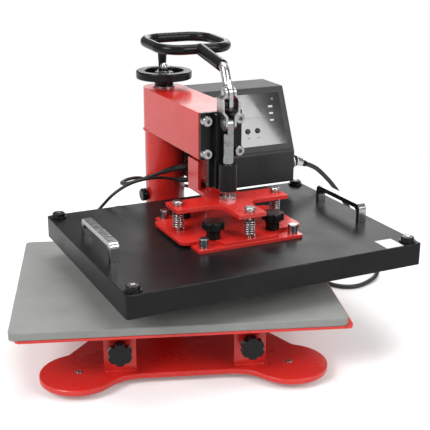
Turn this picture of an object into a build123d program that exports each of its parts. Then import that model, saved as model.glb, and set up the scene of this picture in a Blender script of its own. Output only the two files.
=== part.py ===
from build123d import *
import math
import os

# Combo heat press with a swing-away head. All sizes are in millimetres.
# It is drawn with the column on the Z axis, the floor at z = 0 and the operator at -Y.
# The head is drawn straight over the pad and then turned about the column.

# Stance of the head
SWING_AT_REST = 19.0          # degrees, seen from above, anticlockwise
REACH = 198.7                 # column axis to platen centre

# Fits
RUNNING_GAP = 0.06            # radial gap of a shaft in its bore
FREE_GAP = 0.4                # gap between pieces that pass each other

# Base plate
BASE_THICKNESS = 6.0
FOOT_HEIGHT = 8.0
FOOT_RADIUS = 14.0
FOOT_HOLE_RADIUS = 3.2
LOBE_X = 122.0
LOBE_INSET = 29.7             # lobe centre behind the platen's front edge
LOBE_RADIUS = 45.0
BASE_FRONT_INSET = 17.7       # middle of the base's front behind the platen's front edge
WAIST_HALF_WIDTH = 82.0
WAIST_Y = -140.0
REAR_FOOT_X = 82.0
REAR_FOOT_Y = 52.0
REAR_LOBE_RADIUS = 34.0
BASE_BLEND_RADIUS = 12.0
FRONT_BLEND_RADIUS = 48.0     # from the front edge into a lobe
FOOT_SCREW_HEAD_RADIUS = 4.2
FOOT_SCREW_HEAD_HEIGHT = 1.2

# Lower platen and the two posts that carry it
PLATEN_WIDTH = 380.0
PLATEN_DEPTH = 290.0
CARRIER_THICKNESS = 3.0
PAD_THICKNESS = 10.0
PAD_SHIFT_X = -6.0
PAD_CORNER_RADIUS = 7.0
POST_HEIGHT = 53.0
POST_X = 75.0
POST_INSET = 26.7             # front of the posts behind the platen's front edge
POST_WIDTH = 37.0
POST_THICKNESS = 6.0
LEG_WIDTH = 26.0
LEG_THICKNESS = 8.0
LEG_HEIGHT = 42.0
LOCK_STUD_RADIUS = 4.0
LOCK_KNOB_HEIGHT = 30.0       # of its axis above the base plate

# Column
COLUMN_RADIUS = 27.7
SLEEVE_WALL = 4.0
SLEEVE_BOTTOM_Z = 104.0
POST_TOP_GAP = 16.0           # inner post below the arm's top plate
INNER_POST_WALL = 4.0
COLUMN_FLANGE_RADIUS = 44.0
COLUMN_FLANGE_THICKNESS = 6.0
SCREW_RADIUS = 7.0
NUT_LENGTH = 22.0
THRUST_WASHER_RADIUS = 15.0
THRUST_WASHER_THICKNESS = 2.0

# Arm
ARM_HALF_WIDTH = 28.75
RAM_AHEAD = 24.0              # ram axis ahead of the arm's front
ARM_BOTTOM_Z = 224.0
ARM_HEIGHT = 58.4
ARM_WALL = 4.0
FRONT_PLATE_THICKNESS = 5.0
FRONT_BOLT_X = 22.0
FRONT_BOLT_DROP = 9.4         # upper bolts below the arm's top
FRONT_BOLT_RISE = 8.0         # lower bolts above the arm's bottom
FRONT_BOLT_RADIUS = 4.0
FRONT_BOLT_HEAD_RADIUS = 6.5
FRONT_BOLT_HEAD_HEIGHT = 8.0
FRONT_BOLT_SOCKET = 6.0       # across flats

# Toggle
FULCRUM_RISE = 12.6           # fulcrum pin above the arm's top
CRANK = 14.2                  # fulcrum pin to link pin
LINK_LENGTH = 38.0
PIN_RADIUS = 3.5
PIN_PROUD = 1.6
EAR_RADIUS = 5.5
EAR_THICKNESS = 3.4
LEVER_THICKNESS = 5.0
LEVER_DEPTH = 16.0
LINK_THICKNESS = 2.8
LINK_INNER_X = 4.3
LINK_BOW_X = 9.2
LINK_EYE_RADIUS = 6.5
LINK_BOW_PLACES = (2.6, 7.6, 22.0, 28.0)    # bends of the strap below its upper eye
LINK_DEPTH = 16.0
WEB_HALF_WIDTH = 12.0
WEB_BEHIND_RAM = 9.2
GUIDE_BOSS_RADIUS = 11.2
GUIDE_BOSS_BOTTOM_Z = 187.5
GUIDE_BOSS_TOP_Z = 221.0
TONGUE_HALF_THICKNESS = 4.0
SHAFT_RADIUS = 6.5
LEVER_BEND_BACK = 13.0        # bend of the lever behind the ram axis
LEVER_BEND_RISE = 42.5        # bend above the fulcrum
LEVER_BEND_RADIUS = 10.0
GRIP_BACK = 81.7              # near bar of the grip behind the ram axis
GRIP_RISE = 55.0              # near bar above the fulcrum
GRIP_TILT = 2.5               # degrees, rising to the back
GRIP_WIDTH = 95.0             # between bar centres
GRIP_DEPTH = 88.0
GRIP_CORNER_RADIUS = 28.0
GRIP_RADIUS = 6.4
NECK_ROD_RADIUS = 5.6
NECK_SLEEVE_RADIUS = 7.5

# Handwheel
WHEEL_RADIUS = 38.4
WHEEL_RIM_WIDTH = 12.0
WHEEL_RIM_HEIGHT = 11.0
WHEEL_LIFT = 23.1             # top of the rim above the arm
WHEEL_HUB_RADIUS = 13.0
WHEEL_SPOKE_WIDTH = 16.0
WHEEL_SPOKE_THICKNESS = 7.0
SPINNER_HEIGHT = 30.0
SPINNER_TOP_RADIUS = 7.0
SPINNER_FOOT_RADIUS = 5.3
SPINNER_RADIUS_AT = 31.5      # wheel axis to spinner axis

# Ram bracket and springs
BRACKET_THICKNESS = 5.0
BRACKET_ARM_X = 76.0
BRACKET_ARM_Y = 67.0
BRACKET_TAIL = 78.7           # rear arm, under the guide channel
BRACKET_ARM_X_WIDTH = 36.0
BRACKET_ARM_Y_WIDTH = 36.0
BRACKET_FILLET = 16.0
SPRING_LENGTH = 27.0
SPRING_X = 67.0
SPRING_Y = 58.5
SPRING_MEAN_RADIUS = 6.0
SPRING_WIRE = 1.8
SPRING_TURNS = 6.5
SPRING_BOLT_RADIUS = 3.0
SPRING_BOLT_HEAD_RADIUS = 6.6
SPRING_BOLT_HEAD_HEIGHT = 3.4
BUSHING_RADIUS = 4.4
BUSHING_COLLAR_HEIGHT = 3.0
NUT_ACROSS = 20.0
NUT_HEIGHT = 4.5
TONGUE_HALF_WIDTH = 17.0      # of the front plate below the arm
GUIDE_CHEEK_X = 18.0
GUIDE_CHEEK_THICKNESS = 4.0
GUIDE_CHEEK_HEIGHT = 37.0
GUIDE_CHEEK_DEPTH = 30.5
GUIDE_BAR_THICKNESS = 8.0
GUIDE_BAR_GAP = 4.0           # guide bar above the bracket

# Upper platen
PRESS_GAP = 28.8              # pad to heater plate, handle up
HEATER_THICKNESS = 8.0
HEATER_LIP = 0.6
HEATER_INSET = 6.0
COVER_HEIGHT = 27.2
COVER_WALL = 1.5
COVER_CORNER_RADIUS = 4.0
ELEMENT_RADIUS = 3.5
ELEMENT_RUNS = 6
ELEMENT_PITCH = 44.0
ELEMENT_MARGIN = 40.0         # ends of the runs inside the platen's sides
MOUNT_PLATE_X = 70.0
MOUNT_PLATE_Y = 67.5
MOUNT_PLATE_THICKNESS = 4.0
CROSS_PLATE_THICKNESS = 4.0
CROSS_PLATE_X = 82.0
CROSS_PLATE_Y = 66.0
CROSS_CORNER_RADIUS = 10.0
CROSS_FILLET = 18.0
CROSS_ARM_X_WIDTH = 90.0
CROSS_ARM_Y_WIDTH = 73.0
CORNER_STUD_X = 60.0
CORNER_STUD_Y = 58.5
CORNER_STUD_RADIUS = 6.0
CORNER_STUD_HEIGHT = 12.0
CAP_INSET = 12.5              # cap centres inside the platen's edges
CAP_RADIUS = 8.0
CAP_FLANGE_RADIUS = 10.0
CAP_HEIGHT = 6.5
HANDLE_INSET = 22.5           # middle of a handle inside the platen's side
HANDLE_LENGTH = 102.0
HANDLE_HEIGHT = 24.0
HANDLE_WIDTH = 11.0
HANDLE_BAR = 6.0
HANDLE_INNER_RADIUS = 7.0
GLAND_RADIUS = 5.5
GLAND_LENGTH = 9.0
GLAND_DROP = 11.9             # gland axis below the cover's top

# Knobs with lobes
KNOB_RADIUS = 13.8
KNOB_LOBES = 6
KNOB_GROOVE_RADIUS = 3.6
KNOB_HEIGHT = 9.0
KNOB_STEM_RADIUS = 8.6
KNOB_STEM_HEIGHT = 12.4
KNOB_STUD_RADIUS = 3.0
PLATEN_KNOB_X = 40.5
PLATEN_KNOB_Y = 43.0
COLUMN_KNOB_RADIUS = 9.0
COLUMN_KNOB_LENGTH = 7.5
COLUMN_KNOB_Z = 130.0

# Control box
BOX_LEFT_X = ARM_HALF_WIDTH
BOX_RIGHT_X = 157.0
BOX_BOTTOM_Z = 151.8
BOX_TOP_Z = 281.5
BOX_FRONT_Y = -94.2
BOX_CHIN_Z = 195.5
BOX_TOP_FRONT_Y = -55.0
BOX_BACK_Y = 5.0
BOX_WALL = 2.0
BOX_CORNER_RADIUS = 3.0
PANEL_THICKNESS = 1.5
PANEL_MARGIN = 4.0
LABEL_MARGIN = 9.0
LABEL_BOTTOM_MARGIN = 12.5
LABEL_THICKNESS = 0.6
BUTTON_RADIUS = 3.4
BUTTON_RISE = 1.6
BUTTON_STEM = 3.0
BUTTON_TRAVEL = 0.8
BUTTON_PITCH = 15.3
BUTTON_FIRST_X = 74.1
BUTTON_COUNT = 3
BUTTON_UP_PANEL = 34.0
DISPLAY_WIDTH = 46.0
DISPLAY_HEIGHT = 20.0
DISPLAY_THICKNESS = 0.8

# Connectors and cables
CONNECTOR_RADIUS = 8.5
CONNECTOR_NUT_RADIUS = 10.0
CONNECTOR_LENGTH = 12.0
HEATER_PLUG_LENGTH = 18.0
SENSOR_BUSH_RADIUS = 4.5
SENSOR_BUSH_LENGTH = 10.0
POWER_CORD_RADIUS = 3.3
HEATER_CABLE_RADIUS = 2.5
SENSOR_CABLE_RADIUS = 2.1
RELIEF_LENGTH = 20.0
RELIEF_DROOP = 20.0           # degrees below level
RELIEF_ROOT_RADIUS = 6.5
COIL_LAYER_TURNS = 1.75
COIL_MEAN_RADIUS = 38.5
PLUG_BEND_RADIUS = 30.0
COIL_TURN_GAP = 1.7
COIL_LAYER_GAP = 0.8
PLUG_RADIUS = 12.0
PLUG_LENGTH = 34.0
PLUG_PIN_RADIUS = 2.0
PLUG_PIN_LENGTH = 19.0

# Heights and places that follow from the sizes above
PLATEN_FRONT_Y = -REACH - PLATEN_DEPTH / 2
LOBE_Y = PLATEN_FRONT_Y + LOBE_INSET
BASE_FRONT_Y = PLATEN_FRONT_Y + BASE_FRONT_INSET
POST_Y = PLATEN_FRONT_Y + POST_INSET
ARM_FRONT_Y = RAM_AHEAD - REACH
WEB_FRONT_Y = WEB_BEHIND_RAM - REACH
GRIP_Y = GRIP_BACK - REACH
BASE_TOP_Z = FOOT_HEIGHT + BASE_THICKNESS
CARRIER_Z = BASE_TOP_Z + POST_HEIGHT
PAD_Z = CARRIER_Z + CARRIER_THICKNESS
PAD_TOP_Z = PAD_Z + PAD_THICKNESS
HEATER_Z = PAD_TOP_Z + PRESS_GAP
COVER_Z = HEATER_Z + HEATER_LIP
COVER_TOP_Z = COVER_Z + COVER_HEIGHT
CROSS_Z = COVER_TOP_Z + MOUNT_PLATE_THICKNESS
CROSS_TOP_Z = CROSS_Z + CROSS_PLATE_THICKNESS
BRACKET_Z = CROSS_TOP_Z + SPRING_LENGTH
BRACKET_TOP_Z = BRACKET_Z + BRACKET_THICKNESS
ARM_TOP_Z = ARM_BOTTOM_Z + ARM_HEIGHT
PLATE_FRONT_Y = ARM_FRONT_Y - FRONT_PLATE_THICKNESS
FULCRUM_Z = ARM_TOP_Z + FULCRUM_RISE
GRIP_Z = FULCRUM_Z + GRIP_RISE
WHEEL_TOP_Z = ARM_TOP_Z + WHEEL_LIFT
CHANNEL_BACK_Y = BRACKET_TAIL - REACH
CAP_X = PLATEN_WIDTH / 2 - CAP_INSET
CAP_Y = PLATEN_DEPTH / 2 - CAP_INSET
HANDLE_X = PLATEN_WIDTH / 2 - HANDLE_INSET
CRANK_PIN_Z = FULCRUM_Z + CRANK
RAM_PIN_Z = CRANK_PIN_Z - LINK_LENGTH
STROKE = 2 * CRANK
POST_TOP_Z = ARM_TOP_Z - ARM_WALL - POST_TOP_GAP
LEVER_BORE_RADIUS = PIN_RADIUS + RUNNING_GAP
EAR_INNER_X = LEVER_THICKNESS / 2 + FREE_GAP
CHIN_ANGLE = math.atan2(BOX_TOP_FRONT_Y - BOX_FRONT_Y, BOX_TOP_Z - BOX_CHIN_Z)
SLOPE_LENGTH = math.hypot(BOX_TOP_FRONT_Y - BOX_FRONT_Y, BOX_TOP_Z - BOX_CHIN_Z)

nodes = {}


def post(radius, low, high, x=0.0, y=0.0):
    """Upright cylinder between two heights."""
    return Pos(x, y, low) * Cylinder(radius, high - low, align=(Align.CENTER, Align.CENTER, Align.MIN))


def block(x0, x1, y0, y1, z0, z1):
    """Box between two corners."""
    centre = Pos((x0 + x1) / 2, (y0 + y1) / 2, (z0 + z1) / 2)
    return centre * Box(x1 - x0, y1 - y0, z1 - z0)


def rod_x(radius, x0, x1, y, z):
    """Cylinder along X."""
    return Pos((x0 + x1) / 2, y, z) * Rot(0, 90, 0) * Cylinder(radius, x1 - x0)


def rod_y(radius, y0, y1, x, z):
    """Cylinder along Y."""
    return Pos(x, (y0 + y1) / 2, z) * Rot(90, 0, 0) * Cylinder(radius, y1 - y0)


def plate(sketch, low, thickness):
    """Flat plate drawn on XY, lifted to a height."""
    return Pos(0, 0, low) * extrude(sketch, thickness)


def side_profile(sketch, half_thickness):
    """Profile drawn as (y, z) and thickened both ways along X."""
    return extrude(Plane.YZ * sketch, half_thickness, both=True)


def mirrored(solid):
    """A piece and its mirror image across X = 0."""
    return [solid, mirror(solid, about=Plane.YZ)]


def solids_of(pieces):
    """One compound of separate solids."""
    return Compound(children=[solid for piece in pieces for solid in piece.solids()])


def four_corners(x, y, centre_y=0.0):
    """Corner places of a rectangle."""
    return [(sx * x, centre_y + sy * y) for sx in (-1, 1) for sy in (-1, 1)]


def lobed_knob(radius=KNOB_RADIUS, height=KNOB_HEIGHT):
    """Knob head with grip grooves, standing on a stem at z = 0."""
    head = post(radius, KNOB_STEM_HEIGHT, KNOB_STEM_HEIGHT + height)
    head = chamfer(head.edges().group_by(Axis.Z)[-1], 1.2)
    groove = post(KNOB_GROOVE_RADIUS, 0, KNOB_STEM_HEIGHT + height + 1, x=radius + KNOB_GROOVE_RADIUS * 0.35)
    for index in range(KNOB_LOBES):
        head -= Rot(0, 0, index * 360 / KNOB_LOBES) * groove
    return head + post(KNOB_STEM_RADIUS, 0, KNOB_STEM_HEIGHT + 1)


def arc_from(start, corner, end):
    """Arc that leaves start towards corner and arrives at end from corner."""
    middle = (start + end) * 0.5
    half_chord = (end - start).length / 2
    reach = (corner - start).length
    angle = math.acos(min(1.0, half_chord / reach))
    rise = half_chord * math.tan(angle / 2)
    return ThreePointArc(start, middle + (corner - middle).normalized() * rise, end)


def biarc(start, start_way, end, end_way):
    """Two tangent arcs from one point and direction to another."""
    gap = end - start
    both = start_way + end_way
    a = 2 * (1 - start_way.dot(end_way))
    b = gap.dot(both)
    c = -gap.dot(gap)
    if abs(a) < 1e-9:
        reach = -c / (2 * b)
    else:
        reach = (-2 * b + math.sqrt(4 * b * b - 4 * a * c)) / (2 * a)
    first_corner = start + start_way * reach
    last_corner = end - end_way * reach
    joint = (first_corner + last_corner) * 0.5
    return [arc_from(start, first_corner, joint), arc_from(joint, last_corner, end)]


def through(points, ways):
    """Chain of biarcs through points with given directions."""
    edges = []
    for index in range(len(points) - 1):
        edges += biarc(points[index], ways[index], points[index + 1], ways[index + 1])
    return edges


def tube_along(edges, radius, start, way):
    """Round bar swept along a chain of edges."""
    section = Plane(origin=start, z_dir=way) * Circle(radius)
    return sweep(section, path=Wire(edges))


def least_self_gap(points, diameter, skip):
    """Smallest gap between turns, from points along the centre line."""
    least = float("inf")
    for first in range(0, len(points)):
        for second in range(first + skip, len(points)):
            least = min(least, (points[first] - points[second]).length)
    return least - diameter


def cord_tube(name, route, radius):
    """Cable of straight runs and tangent arcs through a route chosen by hand."""
    points = [Vector(*place) for place in route]
    radii = []
    for before, corner, after in zip(points, points[1:], points[2:]):
        shorter = min((corner - before).length, (after - corner).length)
        turn = (corner - before).get_angle(after - corner)
        radii.append(0.45 * shorter / math.tan(math.radians(turn / 2)))
    path = FilletPolyline(*points, radius=radii)
    section = Plane(origin=points[0], z_dir=points[1] - points[0]) * Circle(radius)
    tube = sweep(section, path=path)
    expected = math.pi * radius ** 2 * path.length
    print(name, "length", round(path.length), "least radius", round(min(radii), 1),
          "radii", [round(value) for value in radii], "volume share", round(tube.volume / expected, 4))
    return tube


# Base

def base_outline():
    """Plate outline: two front lobes, a waist and a wider foot behind the column."""
    side = [(0, BASE_FRONT_Y), (LOBE_X, BASE_FRONT_Y),
            (LOBE_X + LOBE_RADIUS * 0.36, LOBE_Y + LOBE_RADIUS * 0.86),
            (WAIST_HALF_WIDTH + 24, LOBE_Y + 2 * LOBE_RADIUS), (WAIST_HALF_WIDTH, WAIST_Y),
            (REAR_FOOT_X, REAR_FOOT_Y + REAR_LOBE_RADIUS)]
    outline = make_face(Polyline(*side, *[(-x, y) for x, y in reversed(side[1:])], close=True))
    for x, y in foot_places():
        outline += Pos(x, y) * Circle(LOBE_RADIUS if y < WAIST_Y else REAR_LOBE_RADIUS)
    return outline


def foot_places():
    """Centres of the rubber feet."""
    return [(-LOBE_X, LOBE_Y), (LOBE_X, LOBE_Y), (-REAR_FOOT_X, REAR_FOOT_Y), (REAR_FOOT_X, REAR_FOOT_Y)]


def base_plate():
    outline = base_outline()
    corners = [vertex for vertex in outline.vertices()
               if vertex.Y > LOBE_Y and abs(vertex.X) < LOBE_X + LOBE_RADIUS * 0.9]
    outline = fillet(corners, BASE_BLEND_RADIUS)
    front = [vertex for vertex in outline.vertices()
             if abs(vertex.Y - BASE_FRONT_Y) < 0.01 and abs(vertex.X) < LOBE_X]
    outline = fillet(front, FRONT_BLEND_RADIUS)
    solid = plate(outline, FOOT_HEIGHT, BASE_THICKNESS)
    solid = chamfer(solid.edges().group_by(Axis.Z)[-1], 0.8)
    for x, y in foot_places():
        solid -= post(FOOT_HOLE_RADIUS, FOOT_HEIGHT - 1, BASE_TOP_Z + 1, x, y)
    return solid


def rubber_feet():
    feet = []
    for x, y in foot_places():
        foot = post(FOOT_RADIUS, 0, FOOT_HEIGHT, x, y)
        foot = chamfer(foot.edges().group_by(Axis.Z)[0], 1.5)
        feet.append(foot - post(FOOT_HOLE_RADIUS, 2, FOOT_HEIGHT + 1, x, y))
    return solids_of(feet)


def foot_screws():
    screws = []
    for x, y in foot_places():
        shank = post(FOOT_HOLE_RADIUS - 0.2, 2.5, BASE_TOP_Z + 0.1, x, y)
        head = post(FOOT_SCREW_HEAD_RADIUS, BASE_TOP_Z, BASE_TOP_Z + FOOT_SCREW_HEAD_HEIGHT, x, y)
        head = fillet(head.edges().group_by(Axis.Z)[-1], 0.9)
        screws.append(head + shank)
    return solids_of(screws)


def platen_post(x):
    """Upright plate welded to the base, with the hole for the lock stud."""
    half = POST_WIDTH / 2
    solid = block(x - half, x + half, POST_Y, POST_Y + POST_THICKNESS, BASE_TOP_Z, CARRIER_Z)
    stud_z = BASE_TOP_Z + LOCK_KNOB_HEIGHT
    solid -= rod_y(LOCK_STUD_RADIUS + FREE_GAP, POST_Y - 1, POST_Y + POST_THICKNESS + 1, x, stud_z)
    foot = block(x - half, x + half, POST_Y + POST_THICKNESS, POST_Y + 3 * POST_THICKNESS,
                 BASE_TOP_Z, BASE_TOP_Z + POST_THICKNESS)
    return solid + foot


def lower_carrier():
    """Carrier plate with two welded legs that the lock studs screw into."""
    solid = rounded_plate(PLATEN_WIDTH, PLATEN_DEPTH, PAD_CORNER_RADIUS, 0, -REACH,
                          CARRIER_Z, CARRIER_THICKNESS)
    front = POST_Y + POST_THICKNESS
    stud_z = BASE_TOP_Z + LOCK_KNOB_HEIGHT
    for x in (-POST_X, POST_X):
        leg = block(x - LEG_WIDTH / 2, x + LEG_WIDTH / 2, front, front + LEG_THICKNESS,
                    CARRIER_Z - LEG_HEIGHT, CARRIER_Z)
        leg -= rod_y(LOCK_STUD_RADIUS + RUNNING_GAP, front - 1, front + LEG_THICKNESS + 1, x, stud_z)
        solid += leg
    return solid


def lock_knob(side):
    """Knob in front of a post, with its stud through post and leg."""
    x = side * POST_X
    stud_z = BASE_TOP_Z + LOCK_KNOB_HEIGHT
    head = Pos(x, POST_Y - FREE_GAP, stud_z) * Rot(90, 0, 0) * lobed_knob()
    tip = POST_Y + POST_THICKNESS + LEG_THICKNESS + 4
    stud = rod_y(LOCK_STUD_RADIUS, POST_Y - FREE_GAP - 1, tip, x, stud_z)
    return head + stud


def rounded_plate(width, depth, corner, x, y, low, thickness):
    """Rectangular plate with rounded corners."""
    return Pos(x, y, low) * extrude(RectangleRounded(width, depth, corner), thickness)


# Column

def inner_post():
    """Fixed tube that the sleeve turns on, welded to a round flange on the base."""
    radius = COLUMN_RADIUS - SLEEVE_WALL - RUNNING_GAP
    tube = post(radius, BASE_TOP_Z, POST_TOP_Z) - post(radius - INNER_POST_WALL, BASE_TOP_Z, POST_TOP_Z)
    flange = post(COLUMN_FLANGE_RADIUS, BASE_TOP_Z, BASE_TOP_Z + COLUMN_FLANGE_THICKNESS)
    flange = chamfer(flange.edges().group_by(Axis.Z)[-1], 1.5)
    return tube + (flange - post(radius - INNER_POST_WALL, BASE_TOP_Z, BASE_TOP_Z + COLUMN_FLANGE_THICKNESS))


def post_nut():
    """Threaded plug in the top of the inner post."""
    radius = COLUMN_RADIUS - SLEEVE_WALL - RUNNING_GAP - INNER_POST_WALL
    return (post(radius, POST_TOP_Z - NUT_LENGTH, POST_TOP_Z)
            - post(SCREW_RADIUS + RUNNING_GAP, POST_TOP_Z - NUT_LENGTH, POST_TOP_Z))


def swing_sleeve():
    """Outer tube of the column that turns with the arm."""
    top = ARM_TOP_Z - ARM_WALL
    bore = COLUMN_RADIUS - SLEEVE_WALL
    solid = post(COLUMN_RADIUS, SLEEVE_BOTTOM_Z, top) - post(bore, SLEEVE_BOTTOM_Z, top)
    knob_hole = rod_x(KNOB_STUD_RADIUS + FREE_GAP, -COLUMN_RADIUS - 1, -bore + 1, 0, COLUMN_KNOB_Z)
    return solid - knob_hole


def arm_outline(inset):
    """Arm seen from above: straight sides and a half-round rear."""
    half = ARM_HALF_WIDTH - inset
    front = ARM_FRONT_Y + inset
    return Pos(0, front / 2) * Rectangle(2 * half, -front) + Circle(half)


def arm_shell():
    """Welded box arm round the sleeve, closed by a front wall, with the guide bar under it."""
    solid = plate(arm_outline(0), ARM_BOTTOM_Z, ARM_HEIGHT)
    solid = fillet(solid.edges().filter_by(Axis.Z).group_by(Axis.Y)[0], 1.5)
    solid -= plate(arm_outline(ARM_WALL), ARM_BOTTOM_Z + ARM_WALL, ARM_HEIGHT - 2 * ARM_WALL)
    solid -= post(COLUMN_RADIUS, ARM_BOTTOM_Z - 1, ARM_TOP_Z - ARM_WALL)
    solid -= post(WHEEL_HUB_RADIUS * 0.7, ARM_BOTTOM_Z, ARM_TOP_Z + 1)
    for x, z in front_bolt_places():
        solid -= rod_y(FRONT_BOLT_RADIUS, ARM_FRONT_Y - 1, ARM_FRONT_Y + ARM_WALL + 1, x, z)
    half = GUIDE_CHEEK_X - GUIDE_CHEEK_THICKNESS - FREE_GAP
    back = CHANNEL_BACK_Y - GUIDE_CHEEK_THICKNESS - FREE_GAP
    return solid + block(-half, half, back - GUIDE_BAR_THICKNESS, back,
                         BRACKET_TOP_Z + GUIDE_BAR_GAP, ARM_BOTTOM_Z + ARM_WALL)


def front_bolt_places():
    heights = (ARM_TOP_Z - FRONT_BOLT_DROP, ARM_BOTTOM_Z + FRONT_BOLT_RISE)
    return [(sx * FRONT_BOLT_X, z) for sx in (-1, 1) for z in heights]


def front_plate():
    """Black plate on the arm's front, with a tongue below the arm."""
    half = ARM_HALF_WIDTH - 0.7
    solid = block(-half, half, PLATE_FRONT_Y, ARM_FRONT_Y, ARM_BOTTOM_Z, ARM_TOP_Z)
    tongue = TONGUE_HALF_WIDTH
    solid += block(-tongue, tongue, PLATE_FRONT_Y, ARM_FRONT_Y, GUIDE_BOSS_BOTTOM_Z, ARM_BOTTOM_Z + 1)
    for x, z in front_bolt_places():
        solid -= rod_y(FRONT_BOLT_RADIUS, PLATE_FRONT_Y - 1, ARM_FRONT_Y + 1, x, z)
    return solid


def front_bolts():
    bolts = []
    for x, z in front_bolt_places():
        face = PLATE_FRONT_Y
        shank = rod_y(FRONT_BOLT_RADIUS, face - 1, ARM_FRONT_Y + ARM_WALL, x, z)
        head = rod_y(FRONT_BOLT_HEAD_RADIUS, face - FRONT_BOLT_HEAD_HEIGHT, face, x, z)
        head = chamfer(head.edges().group_by(Axis.Y)[0], 0.8)
        socket = Pos(x, face - FRONT_BOLT_HEAD_HEIGHT, z) * Rot(90, 0, 0) * extrude(
            RegularPolygon(FRONT_BOLT_SOCKET / 2, 6, major_radius=False), 4, both=True)
        bolts.append(head + shank - socket)
    return solids_of(bolts)


def guide_block():
    """Black casting: web on the front plate, boss for the ram and two ears for the fulcrum."""
    web_top = FULCRUM_Z - 14
    web = block(-WEB_HALF_WIDTH, WEB_HALF_WIDTH, WEB_FRONT_Y, PLATE_FRONT_Y, GUIDE_BOSS_BOTTOM_Z, web_top)
    boss = post(GUIDE_BOSS_RADIUS, GUIDE_BOSS_BOTTOM_Z, GUIDE_BOSS_TOP_Z, y=-REACH)
    neck = block(-WEB_HALF_WIDTH * 0.7, WEB_HALF_WIDTH * 0.7, -REACH, PLATE_FRONT_Y,
                 GUIDE_BOSS_BOTTOM_Z, GUIDE_BOSS_TOP_Z)
    ear = Pos(-REACH, FULCRUM_Z) * Circle(EAR_RADIUS)
    arm_back = PLATE_FRONT_Y
    ear += Pos((arm_back - REACH) / 2, FULCRUM_Z) * Rectangle(arm_back + REACH, 2 * EAR_RADIUS)
    drop = FULCRUM_Z + EAR_RADIUS - (FULCRUM_Z - 20)
    ear += Pos((arm_back + WEB_FRONT_Y) / 2, FULCRUM_Z + EAR_RADIUS - drop / 2) * Rectangle(
        arm_back - WEB_FRONT_Y, drop)
    ear_solid = Pos(EAR_INNER_X + EAR_THICKNESS / 2, 0, 0) * side_profile(ear, EAR_THICKNESS / 2)
    solid = web + boss + neck
    for piece in mirrored(ear_solid):
        solid += piece
    solid -= post(SHAFT_RADIUS + RUNNING_GAP, GUIDE_BOSS_BOTTOM_Z - 1, GUIDE_BOSS_TOP_Z + 1, y=-REACH)
    groove = block(-EAR_INNER_X, EAR_INNER_X, WEB_FRONT_Y - 1, PLATE_FRONT_Y - 4,
                   GUIDE_BOSS_TOP_Z + 4, FULCRUM_Z)
    return solid - groove - rod_x(PIN_RADIUS, -20, 20, -REACH, FULCRUM_Z)


def fulcrum_pin():
    reach = EAR_INNER_X + EAR_THICKNESS + PIN_PROUD / 3
    return rod_x(PIN_RADIUS, -reach, reach, -REACH, FULCRUM_Z)


# Lever, links and ram

def slot_between(start, end, width):
    """Straight bar with round ends, drawn as (y, z)."""
    gap = Vector(*end) - Vector(*start)
    angle = math.degrees(math.atan2(gap.Y, gap.X))
    centre = (Vector(*start) + Vector(*end)) * 0.5
    return Pos(centre.X, centre.Y) * Rot(0, 0, angle) * SlotCenterToCenter(gap.length, width)


def neck_path(start, *rest):
    """Centre line of the round neck through points given as (y, z), with a rounded bend."""
    corners = [Vector(0, *place) for place in (start, *rest)]
    return FilletPolyline(*corners, radius=LEVER_BEND_RADIUS) if rest[1:] else Line(*corners)


def neck_places():
    """Crank pin, bend of the lever and centre of the grip's near bar, as (y, z)."""
    return (-REACH, CRANK_PIN_Z), (LEVER_BEND_BACK - REACH, FULCRUM_Z + LEVER_BEND_RISE), (GRIP_Y, GRIP_Z)


def part_way(start, end, distance):
    """Point at a distance from start towards end."""
    way = (Vector(*end) - Vector(*start)).normalized()
    place = Vector(*start) + way * distance
    return place.X, place.Y


def round_bar(path, radius):
    return sweep(Plane(origin=path @ 0, z_dir=path % 0) * Circle(radius), path=path)


def lever_bar():
    """Forged bar: flat blade between the ears, then a round neck that bends back into the grip."""
    pin, bend, grip_end = neck_places()
    width = LEVER_DEPTH * 0.9
    blade = slot_between((-REACH, FULCRUM_Z), pin, width)
    blade += slot_between(pin, part_way(pin, bend, CRANK), width * 0.75)
    neck_start = part_way(pin, bend, LINK_EYE_RADIUS + PIN_PROUD + 1)
    solid = side_profile(blade, LEVER_THICKNESS / 2)
    solid += round_bar(neck_path(neck_start, bend, grip_end), NECK_ROD_RADIUS)
    solid -= rod_x(LEVER_BORE_RADIUS, -20, 20, -REACH, FULCRUM_Z)
    solid -= rod_x(PIN_RADIUS, -20, 20, -REACH, CRANK_PIN_Z)
    return solid - grip_bar()


def crank_pin():
    """Pin through lever and links, proud of both links."""
    reach = LINK_INNER_X + LINK_THICKNESS + PIN_PROUD
    return rod_x(PIN_RADIUS, -reach, reach, -REACH, CRANK_PIN_Z)


def grip_bar():
    """Closed loop of the grip."""
    outline = RectangleRounded(GRIP_WIDTH, GRIP_DEPTH, GRIP_CORNER_RADIUS)
    loop = Pos(0, GRIP_Y, GRIP_Z) * Rot(GRIP_TILT, 0, 0) * Pos(0, GRIP_DEPTH / 2, 0) * outline
    wire = loop.faces()[0].outer_wire()
    section = Plane(origin=wire @ 0, z_dir=wire % 0) * Circle(GRIP_RADIUS)
    return sweep(section, path=wire)


def grip():
    """Black moulding: the loop and the sleeve over the round neck."""
    _, bend, end = neck_places()
    path = neck_path(part_way(bend, end, LEVER_BEND_RADIUS * 0.6), end)
    sleeve = round_bar(path, NECK_SLEEVE_RADIUS) - round_bar(path, NECK_ROD_RADIUS)
    return sleeve + grip_bar()


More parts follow.
